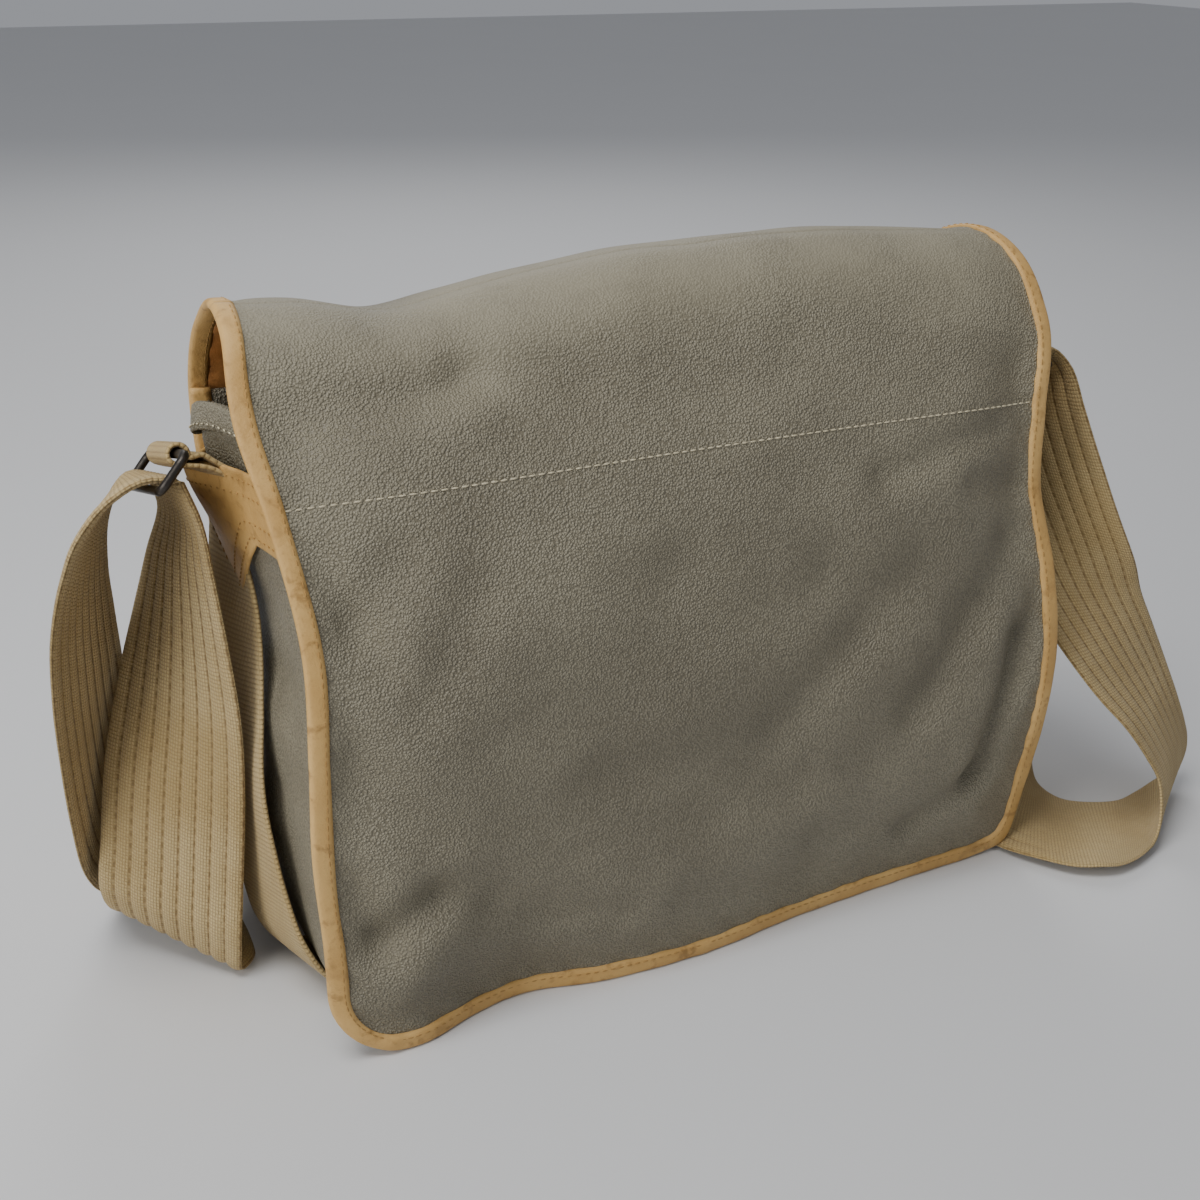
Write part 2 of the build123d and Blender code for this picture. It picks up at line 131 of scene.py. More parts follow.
def even_line(points: Array, spacing: float) -> Array:
    """Smooth line through points, resampled to nearly equal steps.

    Args:
        points: Rows of coordinates; only the first three set the spacing.
        spacing: Wanted step.

    Returns:
        The resampled rows.
    """
    knots = length_along(points[:, :3])
    dense = hermite(knots, points, np.linspace(0.0, knots[-1], 40 * len(points)))
    run = length_along(dense[:, :3])
    count = max(3, int(run[-1] / spacing) + 1)
    return read_rows(dense, run, np.linspace(0.0, run[-1], count))


def unit(vectors: Array) -> Array:
    """Vectors scaled to length 1."""
    return vectors / np.maximum(np.linalg.norm(vectors, axis=-1, keepdims=True), 1e-9)


def ripple(points: Array, wave: float, seed: int) -> Array:
    """Soft random swell between about -1 and 1.

    Formula: the mean of eight sine waves with seeded directions and phases, all
    about one wave length long.

    Args:
        points: Points in millimetres, shape (..., 3).
        wave: Wave length in millimetres.
        seed: Number that picks the directions and phases.

    Returns:
        One value for each point.
    """
    draw = np.random.default_rng(seed)
    ways = unit(draw.normal(size=(8, 3))) * (2 * math.pi / wave) * draw.uniform(0.6, 1.3, (8, 1))
    phases = draw.uniform(0.0, 2 * math.pi, 8)
    return np.sin(points @ ways.T + phases).sum(axis=-1) / 3.0


# ---------------------------------------------------------------- meshes
def grid_faces(rows: int, columns: int) -> Array:
    """Quads of a grid of points whose last column joins its first."""
    left = np.arange(rows * columns).reshape(rows, columns)
    right = np.roll(left, -1, axis=1)
    corners = [left[:-1], right[:-1], right[1:], left[1:]]
    return np.stack(corners, axis=-1).reshape(-1, 4)


def make_piece(name: str, points: Array, faces: Array, uv: Array | None = None) -> bpy.types.Object:
    """Mesh object from points in millimetres.

    Args:
        name: Name of the piece.
        points: Points, shape (n, 3), in millimetres.
        faces: Corner numbers, one row for each face.
        uv: Optional surface coordinates in metres, shape (n, 2).

    Returns:
        The new object, linked to the scene, with smooth faces that point outwards and
        nothing below the ground.
    """
    mesh = bpy.data.meshes.new(name)
    points = np.maximum(points, [-np.inf, -np.inf, 0.0])
    mesh.from_pydata((points * MM).tolist(), [], faces.tolist())
    if uv is not None:
        layer = mesh.uv_layers.new(name="Surface")
        corners = np.empty(len(mesh.loops), np.int64)
        mesh.loops.foreach_get("vertex_index", corners)
        layer.data.foreach_set("uv", uv[corners].astype(np.float32).ravel())
    work = bmesh.new()
    work.from_mesh(mesh)
    bmesh.ops.remove_doubles(work, verts=work.verts, dist=2e-6)
    bmesh.ops.recalc_face_normals(work, faces=work.faces)
    work.to_mesh(mesh)
    work.free()
    mesh.polygons.foreach_set("use_smooth", np.ones(len(mesh.polygons), bool))
    piece = bpy.data.objects.new(name, mesh)
    bpy.context.scene.collection.objects.link(piece)
    return piece


def surface_normals(grid: Array) -> Array:
    """Unit normals of a grid of points, from its two directions' differences."""
    return unit(np.cross(np.gradient(grid, axis=0), np.gradient(grid, axis=1)))


def sheet_piece(name: str, middle: Array, thickness: float,
                relief: Array | float = 0.0) -> bpy.types.Object:
    """Closed sheet of soft material with rounded edges.

    Formula: each row of the middle surface becomes a ring: the row moved out along the
    normal by half the thickness, a point past the edge, the row moved in by the same,
    and a point past the other edge. Past the first and last rows the ring closes up.

    Args:
        name: Name of the piece.
        middle: Middle surface, shape (rows, columns, 3), in millimetres.
        thickness: Thickness between the two faces.
        relief: Extra thickness on each face, one number or one for each point.

    Returns:
        The new object, with surface coordinates in metres along and across it.
    """
    rows, columns = middle.shape[:2]
    half = np.full((rows, columns), thickness / 2) + relief
    offset = surface_normals(middle) * half[..., None]
    past_first = middle[:, 0] + unit(middle[:, 0] - middle[:, 1]) * half[:, :1]
    past_last = middle[:, -1] + unit(middle[:, -1] - middle[:, -2]) * half[:, -1:]
    outer, inner = middle + offset, (middle - offset)[:, ::-1]
    ring = np.concatenate([outer, past_last[:, None], inner, past_first[:, None]], axis=1)
    flat = np.concatenate([middle, past_last[:, None], middle[:, ::-1], past_first[:, None]],
                          axis=1)
    start = flat[0] + unit(flat[0] - flat[1]) * half[0].mean()
    end = flat[-1] + unit(flat[-1] - flat[-2]) * half[-1].mean()
    ring = np.concatenate([start[None], ring, end[None]])
    across = length_along(middle[rows // 2])
    ring_u = np.concatenate([across, across[-1:] + 1, across[::-1], across[:1] - 1])
    run = length_along(middle[:, columns // 2])
    run = np.concatenate([run[:1] - 1, run, run[-1:] + 1])
    u, v = np.meshgrid(ring_u * MM, run * MM)
    faces = grid_faces(*ring.shape[:2])
    return make_piece(name, ring.reshape(-1, 3), faces, np.stack([u.ravel(), v.ravel()], axis=1))


def capped(rings: Array) -> Array:
    """Rings with their two ends closed, each by one more ring shrunk to a point."""
    ends = [np.broadcast_to(ring.mean(axis=0), ring.shape)[None] for ring in (rings[0], rings[-1])]
    return np.concatenate([ends[0], rings, ends[1]])


def swept_piece(name: str, rings: Array) -> bpy.types.Object:
    """Closed solid whose section is a closed ring carried along a path.

    Args:
        name: Name of the piece.
        rings: Section points, shape (stations, ring points, 3), in millimetres.

    Returns:
        The new object.
    """
    run = length_along(rings.mean(axis=1))
    around = length_along(rings[len(rings) // 2])
    rings = capped(rings)
    run = np.concatenate([run[:1], run, run[-1:]])
    u, v = np.meshgrid(around * MM, run * MM)
    faces = grid_faces(*rings.shape[:2])
    return make_piece(name, rings.reshape(-1, 3), faces, np.stack([u.ravel(), v.ravel()], axis=1))


def stitch_piece(name: str, places: Array, ways: Array, normals: Array,
                 size: tuple[float, float, float] = (3.3, 0.75, 0.6)) -> bpy.types.Object:
    """Row of thread stitches, each a small closed drop lying on the surface.

    Formula: one ellipsoid of three rings and two poles is turned to each place's own
    directions and moved there.

    Args:
        name: Name of the piece.
        places: Middle of each stitch.
        ways: Direction along the seam at each place.
        normals: Direction out of the surface at each place.
        size: Length, width and height of one stitch.

    Returns:
        The new object.
    """
    turns = np.linspace(0.0, 2 * math.pi, 7)[:-1]
    lean = np.array([-0.72, 0.0, 0.72])
    swell = np.sqrt(1 - lean**2)
    rings = np.stack([np.repeat(lean, 6), np.outer(swell, np.cos(turns)).ravel(),
                      np.outer(swell, np.sin(turns)).ravel()], axis=1)
    drop = np.concatenate([[[-1.0, 0, 0]], rings, [[1.0, 0, 0]]]) * np.array(size) / 2
    ways = unit(ways - normals * (ways * normals).sum(axis=1, keepdims=True))
    sides = np.cross(normals, ways)
    frames = np.stack([ways, sides, normals], axis=1)
    points = places[:, None] + np.einsum("kc,ncd->nkd", drop, frames)
    following = np.roll(np.arange(6), -1)
    around = np.arange(6)
    quads = [np.stack([1 + 6 * r + around, 1 + 6 * r + following, 7 + 6 * r + following,
                       7 + 6 * r + around], axis=1) for r in range(2)]
    fans = [np.stack([np.zeros(6, int), 1 + following, 1 + around], axis=1),
            np.stack([np.full(6, 19), 13 + around, 13 + following], axis=1)]
    shift = (np.arange(len(places)) * len(drop))[:, None, None]
    faces = [f.tolist() for f in (np.concatenate(quads)[None] + shift).reshape(-1, 4)]
    faces += [f.tolist() for f in (np.concatenate(fans)[None] + shift).reshape(-1, 3)]
    return make_piece(name, points.reshape(-1, 3), np.array(faces, dtype=object))


def bound_outline(half: float, corner: float, top: float, step: float,
                  turns: int) -> tuple[Array, Array]:
    """Outline of a panel from its top right, round its bottom, to its top left.

    Formula: straight sides and quarter circles at the two bottom corners.

    Args:
        half: Half of the panel's width.
        corner: Radius of the corners.
        top: Height at which the outline starts and ends.
        step: Step along the straight stretches.
        turns: Points on each quarter circle.

    Returns:
        Places on the edge as (across, up), and the unit direction inwards at each.
    """
    inner = half - corner
    turn = np.linspace(0.0, math.pi / 2, turns)
    side = np.arange(top, corner, -step)
    flat = np.arange(inner, -inner, -step)
    right = np.column_stack([np.full(len(side), half), side])
    bend = np.column_stack([inner + corner * np.cos(turn), corner * (1 - np.sin(turn))])
    bottom = np.column_stack([flat, np.zeros(len(flat))])
    mirror = [-1, 1]
    path = np.concatenate([right, bend[:-1], bottom, bend[::-1] * mirror, right[::-1][1:] * mirror])
    centre = np.column_stack([np.clip(path[:, 0], -inner, inner), np.maximum(path[:, 1], corner)])
    return path, unit(centre - path)


# ---------------------------------------------------------------- materials
class Socket:
    """A node's output that Python operators turn into Math nodes."""

    def __init__(self, tree: "Shader", link: bpy.types.NodeSocket) -> None:
        """Wrap one output of a material's node tree."""
        self.tree, self.link = tree, link

    def math(self, operation: str, *values: "Socket | float") -> "Socket":
        """One Math node on this value and the given ones."""
        return self.tree.node("ShaderNodeMath", {"operation": operation}, self, *values)

    def __add__(self, other: "Socket | float") -> "Socket":
        """Sum."""
        return self.math("ADD", other)

    def __sub__(self, other: "Socket | float") -> "Socket":
        """Difference."""
        return self.math("SUBTRACT", other)

    def __rsub__(self, other: float) -> "Socket":
        """A number less this value."""
        return self.tree.node("ShaderNodeMath", {"operation": "SUBTRACT"}, other, self)

    def __mul__(self, other: "Socket | float") -> "Socket":
        """Product."""
        return self.math("MULTIPLY", other)

    __radd__, __rmul__ = __add__, __mul__

    def power(self, exponent: float) -> "Socket":
        """This value to a power."""
        return self.math("POWER", exponent)

    def ramp(self, low: float, high: float) -> "Socket":
        """Smooth rise from 0 at low to 1 at high."""
        settings = {"interpolation_type": "SMOOTHSTEP"}
        return self.tree.node("ShaderNodeMapRange", settings, self, low, high, 0.0, 1.0)


class Shader:
    """Node tree of one procedural material."""

    def __init__(self, name: str) -> None:
        """Start a material with an empty Principled surface."""
        self.material = bpy.data.materials.new(name)
        self.material.use_nodes = True
        self.nodes, self.links = self.material.node_tree.nodes, self.material.node_tree.links
        self.surface = self.nodes["Principled BSDF"]

    def node(self, kind: str, settings: dict[str, object], *values: object,
             output: int | str = 0, **named: object) -> Socket:
        """Add one node.

        Args:
            kind: The node's type.
            settings: Properties set before its sockets, such as an operation.
            values: Values or sockets for the inputs in order.
            output: Which output to return.
            named: Values or sockets for inputs by name, with _ for a space.

        Returns:
            The chosen output.
        """
        made = self.nodes.new(kind)
        for key, value in settings.items():
            setattr(made, key, value)
        pairs = list(zip(made.inputs, values))
        pairs += [(made.inputs[key.replace("_", " ")], value) for key, value in named.items()]
        for socket, value in pairs:
            if isinstance(value, Socket):
                self.links.new(value.link, socket)
            elif value is not None:
                socket.default_value = value
        return Socket(self, made.outputs[output])

    def place(self, source: str = "Object") -> Socket:
        """Object coordinates, or the piece's own surface coordinates with "UV"."""
        return self.node("ShaderNodeTexCoord", {}, output=source)

    def scaled(self, vector: Socket, scale: tuple[float, float, float]) -> Socket:
        """A vector scaled along its axes."""
        return self.node("ShaderNodeMapping", {}, vector, Scale=scale)

    def noise(self, vector: Socket, scale: float, detail: float = 3.0,
              rough: float = 0.5) -> Socket:
        """Noise between 0 and 1."""
        return self.node("ShaderNodeTexNoise", {}, vector, None, scale, detail, rough)

    def cells(self, vector: Socket, scale: float) -> Socket:
        """Distance pattern of random cells."""
        settings = {"feature": "F1"}
        return self.node("ShaderNodeTexVoronoi", settings, vector, Scale=scale, output="Distance")

    def part(self, vector: Socket, axis: str) -> Socket:
        """One component of a vector."""
        return self.node("ShaderNodeSeparateXYZ", {}, vector, output=axis)

    def mix(self, factor: Socket, first: Socket | Colour, second: Socket | Colour) -> Socket:
        """Blend two colours."""
        made = self.nodes.new("ShaderNodeMix")
        made.data_type = "RGBA"
        for index, value in ((0, factor), (6, first), (7, second)):
            if isinstance(value, Socket):
                self.links.new(value.link, made.inputs[index])
            else:
                made.inputs[index].default_value = value
        return Socket(self, made.outputs[2])

    def warped(self, vector: Socket, scale: float, amount: float) -> Socket:
        """A vector pushed about by noise, so that a pattern isn't regular."""
        push = self.node("ShaderNodeTexNoise", {}, vector, None, scale, 2.0, output="Color")
        push = self.node("ShaderNodeVectorMath", {"operation": "SCALE"}, push, Scale=amount)
        return self.node("ShaderNodeVectorMath", {"operation": "ADD"}, vector, push)

    def dress(self, colour: Socket, roughness: Socket | float, height: Socket | None,
              depth: float, **constants: object) -> bpy.types.Material:
        """Feed the surface.

        Args:
            colour: Base colour.
            roughness: Roughness, varying or one number.
            height: Relief between about 0 and 1, or None.
            depth: What a relief of 1 measures, in metres.
            constants: Values of other sockets, with _ for a space.

        Returns:
            The finished material.
        """
        self.links.new(colour.link, self.surface.inputs["Base Color"])
        if isinstance(roughness, Socket):
            self.links.new(roughness.link, self.surface.inputs["Roughness"])
        else:
            self.surface.inputs["Roughness"].default_value = roughness
        if height is not None:
            bump = self.node("ShaderNodeBump", {}, Strength=1.0, Distance=depth, Height=height)
            self.links.new(bump.link, self.surface.inputs["Normal"])
        for key, value in constants.items():
            self.surface.inputs[key.replace("_", " ")].default_value = value
        return self.material


def shade(red: int, green: int, blue: int) -> Colour:
    """Linear colour of a display colour given as 0 to 255."""
    display = np.array([red, green, blue]) / 255.0
    linear = np.where(display <= 0.04045, display / 12.92, ((display + 0.055) / 1.055) ** 2.4)
    return (*linear.tolist(), 1.0)


@dataclass(frozen=True)
class PebbleLeather:
    """Soft grained leather: small raised pebbles with dark creases between them."""

    lit: Colour = shade(141, 134, 113)
    main: Colour = shade(121, 114, 95)
    deep: Colour = shade(80, 73, 58)
    pebble: float = 860.0        # pebbles in a metre
    worn_and_lit_from: float = 0.285     # height above which the grain is rubbed smooth and the colour is painted lighter, a painted highlight on the top
    worn_and_lit_to: float = 0.345

    def build(self) -> bpy.types.Material:
        """Make the material."""
        sh = Shader("grained_leather")
        place = sh.place()
        loose = sh.warped(place, 160.0, 0.0012)
        coarse = sh.cells(loose, self.pebble)
        fine = sh.cells(sh.warped(place, 300.0, 0.002), 2.1 * self.pebble)
        swell = sh.noise(place, 160.0, 4.0)
        level = sh.part(place, "Z") + (sh.noise(place, 14.0, 4.0) - 0.5) * 0.09
        worn_and_lit = level.ramp(self.worn_and_lit_from, self.worn_and_lit_to)
        grain = (1 - coarse.ramp(0.15, 0.8)) * 0.7 + (1 - fine) * 0.15 + swell * 0.6
        height = grain * (1 - worn_and_lit * 0.72)
        cloud = sh.noise(place, 9.0, 5.0, 0.6)
        colour = sh.mix(cloud.ramp(0.3, 0.72), self.main, self.lit)
        # painted highlight: above that height the colour is blended towards the lit colour, as if
        # lit from above; the same mask smooths the worn grain
        colour = sh.mix(worn_and_lit * 0.55, colour, self.lit)
        crease = coarse.ramp(0.35, 0.8) * (1 - worn_and_lit * 0.7)
        colour = sh.mix(crease * 0.5, colour, self.deep)
        colour = sh.mix(sh.noise(place, 45.0, 3.0).ramp(0.55, 0.8) * 0.2, colour, self.deep)
        roughness = 0.42 + cloud * 0.12 + worn_and_lit * 0.14
        return sh.dress(colour, roughness, height, 0.0008, Specular_IOR_Level=0.5)


@dataclass(frozen=True)
class TanLeather:
    """Smooth tan leather, darker where it is handled and along its folds."""

    name: str
    light: Colour = shade(207, 168, 104)
    main: Colour = shade(187, 147, 85)
    dark: Colour = shade(136, 100, 52)
    depth: float = 0.0006

    def build(self) -> bpy.types.Material:
        """Make the material."""
        sh = Shader(self.name)
        place = sh.place()
        cloud = sh.noise(place, 22.0, 5.0, 0.62)
        pores = sh.noise(place, 900.0, 3.0, 0.65)
        wrinkle = sh.noise(sh.warped(place, 60.0, 0.01), 130.0, 4.0, 0.6)
        colour = sh.mix(cloud.ramp(0.32, 0.7), self.main, self.light)
        colour = sh.mix(wrinkle.ramp(0.54, 0.72) * 0.65, colour, self.dark)
        colour = sh.mix(sh.noise(place, 70.0, 4.0).ramp(0.56, 0.7) * 0.4, colour, self.dark)
        colour = sh.mix(pores.ramp(0.55, 0.75) * 0.22, colour, self.dark)
        height = wrinkle * 0.8 + pores * 0.35
        return sh.dress(colour, 0.5 + cloud * 0.16, height, self.depth, Specular_IOR_Level=0.4)


@dataclass(frozen=True)
class Webbing:
    """Heavy cotton webbing: rows of bean-shaped weave that follow the band."""

    name: str
    light: Colour = shade(204, 181, 132)
    main: Colour = shade(180, 155, 105)
    dark: Colour = shade(122, 98, 60)
    warp: float = 640.0          # threads in a metre across the band
    weft: float = 420.0          # picks in a metre along the band
    ribs: int = 0                # stitched ribs across the strap's width
    width: float = 0.076

    def build(self) -> bpy.types.Material:
        """Make the material."""
        sh = Shader(self.name)
        surface = sh.place("UV")
        across, along = sh.part(surface, "X"), sh.part(surface, "Y")
        wobble = (sh.noise(surface, 260.0, 2.0) - 0.5) * 1.1
        column = (across * (math.pi * self.warp) + wobble).math("SINE")
        row = (along * (math.pi * self.weft) + wobble).math("SINE")
        checker = column * row
        weave = checker.math("ABSOLUTE").power(0.6)
        tint = (checker * 6.0).ramp(-1.0, 1.0)
        place = sh.place()
        cloud = sh.noise(place, 16.0, 5.0, 0.6)
        fuzz = sh.noise(place, 1500.0, 2.0, 0.7)
        colour = sh.mix(cloud.ramp(0.3, 0.75), self.main, self.light)
        colour = sh.mix((1 - weave) * 0.62, colour, self.dark)
        colour = sh.mix(tint * 0.1, colour, self.dark)
        colour = sh.mix(fuzz.ramp(0.5, 0.75) * 0.18, colour, self.light)
        if self.ribs:
            groove = (across * (math.pi * self.ribs / self.width)).math("SINE").math("ABSOLUTE")
            beside = sh.part(place, "X").ramp(*(x * MM for x in PRESSED_X))
            pressed = beside * (1 - sh.part(place, "Z").ramp(*(z * MM for z in PRESSED_Z)))
            # painted shade along the grooves between the ribs, weaker where the ribs are pressed
            # flat; the stitches in the grooves are painted darker still
            groove_shade_and_stitch = (1 - groove.ramp(0.0, 0.42)) * (1 - pressed * 0.9)
            stitch = (along * (math.pi / 0.0034)).math("SINE").ramp(-0.2, 0.4)
            colour = sh.mix(groove_shade_and_stitch * (0.5 + stitch * 0.4), colour, self.dark)
        height = weave * 0.8 + fuzz * 0.3 + tint * 0.25
        return sh.dress(colour, 0.86, height, 0.0005, Specular_IOR_Level=0.2, Sheen_Weight=0.12,
                        Sheen_Roughness=0.5)


@dataclass(frozen=True)
class Cloth:
    """Cotton twill of the lining and the pocket."""

    name: str = "twill"
    main: Colour = shade(176, 158, 126)
    dark: Colour = shade(132, 114, 84)

    def build(self) -> bpy.types.Material:
        """Make the material."""
        sh = Shader(self.name)
        place = sh.place()
        slant = sh.part(place, "Z") + sh.part(place, "X") + sh.part(place, "Y")
        twill = (slant * (math.pi * 1300.0)).math("SINE").math("ABSOLUTE")
        cloud = sh.noise(place, 25.0, 4.0)
        colour = sh.mix((1 - twill) * 0.4 + cloud * 0.35, self.main, self.dark)
        return sh.dress(colour, 0.9, twill, 0.00015, Specular_IOR_Level=0.2)


@dataclass(frozen=True)
class DarkMetal:
    """Antique dark plating, rubbed brighter here and there."""

    name: str = "dark_plating"
    main: Colour = shade(66, 62, 58)
    rubbed: Colour = shade(104, 99, 91)

    def build(self) -> bpy.types.Material:
        """Make the material."""
        sh = Shader(self.name)
        place = sh.place()
        cloud = sh.noise(place, 120.0, 4.0, 0.6)
        colour = sh.mix(cloud.ramp(0.45, 0.75), self.main, self.rubbed)
        roughness = 0.3 + cloud * 0.2
        return sh.dress(colour, roughness, sh.noise(place, 700.0, 2.0), 0.00008, Metallic=0.95)


@dataclass(frozen=True)
class Thread:
    """Waxed sewing thread with its twist."""

    name: str
    main: Colour
    dark: Colour

    def build(self) -> bpy.types.Material:
        """Make the material."""
        sh = Shader(self.name)
        place = sh.place()
        twist = sh.noise(sh.scaled(place, (900.0, 900.0, 1500.0)), 1.0, 2.0)
        colour = sh.mix(twist, self.main, self.dark)
        return sh.dress(colour, 0.7, twist, 0.0001, Specular_IOR_Level=0.3)


@dataclass(frozen=True)
class Plain:
    """Even, slightly mottled surface of the floor and of the hidden board."""

    name: str
    main: Colour
    roughness: float = 0.6

    def build(self) -> bpy.types.Material:
        """Make the material."""
        sh = Shader(self.name)
        cloud = sh.noise(sh.place(), 3.0, 3.0)
        colour = sh.mix(cloud * 0.12, self.main, (0.5, 0.5, 0.5, 1.0))
        return sh.dress(colour, self.roughness, None, 0.0)


class Finish(Enum):
    """Finishes of the bag, each with a name."""

    LEATHER = "grain_leather"
    TAN = "tan_leather"
    FLAP_LINING = "flap_lining"
    CLOTH = "lining_cloth"
    BAND = "webbing"
    STRAP = "strap"
    METAL = "dark_metal"
    BOARD = "board"
    CREAM_THREAD = "cream_thread"
    TAN_THREAD = "tan_thread"


class Wardrobe:
    """All materials, each built once."""

    def __init__(self) -> None:
        """Build every finish."""
        lining = TanLeather("flap_lining", shade(205, 145, 84), shade(186, 122, 62),
                            shade(130, 80, 38))
        strap = Webbing("ribbed_webbing", warp=700.0, weft=560.0, ribs=STRAP_RIBS)
        cream = Thread("cream_thread", shade(214, 205, 178), shade(160, 148, 118))
        tan = Thread("tan_thread", shade(190, 152, 92), shade(120, 88, 44))
        self.materials = {
            Finish.LEATHER: PebbleLeather().build(),
            Finish.TAN: TanLeather("tan_leather").build(),
            Finish.FLAP_LINING: lining.build(),
            Finish.CLOTH: Cloth().build(),
            Finish.BAND: Webbing("plain_webbing").build(),
            Finish.STRAP: strap.build(),
            Finish.METAL: DarkMetal().build(),
            Finish.BOARD: Plain("board", shade(60, 60, 60)).build(),
            Finish.CREAM_THREAD: cream.build(),
            Finish.TAN_THREAD: tan.build(),
        }

    def dress(self, piece: bpy.types.Object, finish: Finish) -> bpy.types.Object:
        """Give a piece its material."""
        piece.data.materials.clear()
        piece.data.materials.append(self.materials[finish])
        return piece


# ---------------------------------------------------------------- the bag's soft form
@dataclass(frozen=True)
class Crease:
    """A soft fold in the back leather, from one point to another, in width and height."""

    start: tuple[float, float]
    end: tuple[float, float]
    depth: float
    width: float


# How far the soft bag has sagged: each is a row of places and the shift at each.
LEFT_OUT = ((0, 60, 110, 150, 200, 257, 290, 310, 335), (1, 0, 2, 0, -2.5, 4, 9, 8, 4))
RIGHT_OUT = ((0, 80, 125, 170, 217, 254, 290, 335), (0, 1, 4, 1.5, -3.5, 0, 4, 1))
FRONT_OUT = ((0, 200, 270, 335), (0, 0, 5, 3))
RIGHT_BACK = ((0, 80, 125, 170, 217, 254, 290, 335), (0, -4, -5, -2, 3.5, 0, -4.5, -2))
LEFT_LEAN = ((0, 200, 257, 300, 335), (0, 0, 4, 12, 8))
BASE_BACK = ((-200, -182, -157, -126, -105, -62, -5, 54, 117, 183, 200),
             (-4, -7, -8, 2, 6, -2, -4, 3, 7, 9, 9))
CROWN_RISE = ((-204, -169, -129, -101, -67, -27, 26, 82, 142, 189, 204),
              (-2, -6, -13, -8, -1, 4, 5, 5, 3, 1, 0))


SQUARED_AT = (189.0, 11.0)      # middle of the push that squares up one corner, x and z
SQUARED_SPREAD = 15.0
SQUARED_BY = (6.0, 5.0)         # how far it moves outwards and downwards


@dataclass
class BagForm:
    """Outer form that all leather pieces share, in millimetres.

    The skin is one sheet: up the back, over the top and down the front as the flap.
    A place on it is x across and s, the length along it from the back's lower edge.
    """

    half: float = 200.0
    corner: float = 38.0
    fold_gain: float = 1.3       # by how much every crease is deepened
    flap_swell: float = 2.5      # how far the leather swells out, and how much more
    back_swell: float = 6.5      # it does so on the back
    side_line: tuple[tuple[float, float], ...] = (
        (-65.2, 0.0), (-65.4, 55.0), (-64.4, 110.0), (-61.0, 160.0), (-55.2, 200.0), (-40.2, 257.0),
        (-24.6, 298.6), (-8.0, 322.0), (17.0, 331.6), (48.0, 325.0), (69.0, 309.0), (80.0, 286.0),
        (83.2, 255.0), (83.2, 200.0), (83.2, 140.0), (83.2, 80.0))
    creases: tuple[Crease, ...] = (
        Crease((-174, 60), (-148, 76), 4.2, 10.0), Crease((-148, 76), (-120, 70), 2.0, 11.0),
        Crease((-188, 92), (-174, 60), 2.6, 9.0), Crease((176, 140), (158, 64), 7.5, 9.0),
        Crease((190, 160), (180, 120), 3.0, 7.0), Crease((166, 66), (120, 40), 3.5, 10.0),
        Crease((120, 40), (60, 52), 2.0, 12.0), Crease((92, 234), (165, 250), 2.4, 9.0),
        Crease((-20, 205), (70, 160), 2.6, 17.0), Crease((60, 196), (150, 160), 2.6, 15.0),
        Crease((30, 120), (110, 190), 2.2, 16.0), Crease((-60, 120), (40, 90), 2.0, 18.0),
        Crease((110, 110), (170, 190), 2.6, 12.0), Crease((-178, 205), (-150, 236), 2.2, 12.0),
        Crease((-186, 238), (-165, 190), 2.4, 9.0), Crease((-150, 170), (-120, 215), 1.8, 14.0),
        Crease((-182, 150), (-150, 105), 2.4, 13.0), Crease((-120, 60), (-60, 40), 2.4, 11.0),
        Crease((-20, 40), (60, 30), 2.0, 11.0), Crease((-90, 285), (40, 292), 1.6, 14.0),
        Crease((60, 300), (180, 276), 2.0, 15.0), Crease((-180, 290), (-110, 312), 3.4, 15.0),
        Crease((-110, 312), (-60, 300), 2.2, 14.0), Crease((184, 215), (150, 225), 2.4, 9.0))

    def __post_init__(self) -> None:
        """Measure the side line."""
        line = np.array(self.side_line)
        dense = even_line(np.column_stack([np.zeros(len(line)), line]), 1.0)[:, 1:]
        self.line = dense
        self.run = np.linspace(0.0, length_along(dense)[-1], len(dense))
        self.length = float(self.run[-1])
        slope = unit(np.gradient(dense, axis=0))
        self.outward = np.column_stack([-slope[:, 1], slope[:, 0]])
        self.top = float(np.interp(17.0, dense[:, 0], self.run))

    def slump(self, points: Array) -> Array:
        """Move points with the sag that the whole soft bag has.

        Formula: shifts along each axis read from smooth curves of height or of width,
        each faded in towards the side, the top or the base that it belongs to, and a
        bell-shaped push that squares up the back's lower right corner.

        Args:
            points: Points on or in the bag, shape (..., 3).

        Returns:
            The moved points.
        """
        x, y, z = points[..., 0], points[..., 1], points[..., 2]
        left, right = smooth_step(-x, 110.0, 200.0), smooth_step(x, 110.0, 200.0)
        rear = smooth_step(-y, -60.0, -10.0)
        out_left, out_right = table(*LEFT_OUT, z), table(*RIGHT_OUT, z)
        out_front = table(*FRONT_OUT, z) * (1 - rear)
        dx = right * rear * out_right - left * (rear * out_left + out_front)
        low = 1 - smooth_step(z, 5.0, 95.0)
        back, lean, base = table(*RIGHT_BACK, z), table(*LEFT_LEAN, z), table(*BASE_BACK, x)
        dy = rear * (right * back + left * lean + base * low)
        dz = table(*CROWN_RISE, x) * smooth_step(z, 270.0, 326.0)
        at_x, at_z = SQUARED_AT
        corner = bell(x, at_x, SQUARED_SPREAD, z, at_z, SQUARED_SPREAD)
        corner = corner * (1 - smooth_step(y, -50.0, -30.0))
        dx, dz = dx + SQUARED_BY[0] * corner, dz - SQUARED_BY[1] * corner
        return points + np.stack([dx, dy, dz], axis=-1)

    def edge_distance(self, x: Array, s: Array) -> Array:
        """Distance of a place on the skin to its edge, negative outside.

        Formula: that of a rectangle with rounded corners.
        """
        ax = np.abs(x) - (self.half - self.corner)
        mid = self.length / 2
        ay = np.abs(s - mid) - (mid - self.corner)
        outside = np.hypot(np.maximum(ax, 0.0), np.maximum(ay, 0.0))
        return self.corner - outside - np.minimum(np.maximum(ax, ay), 0.0)

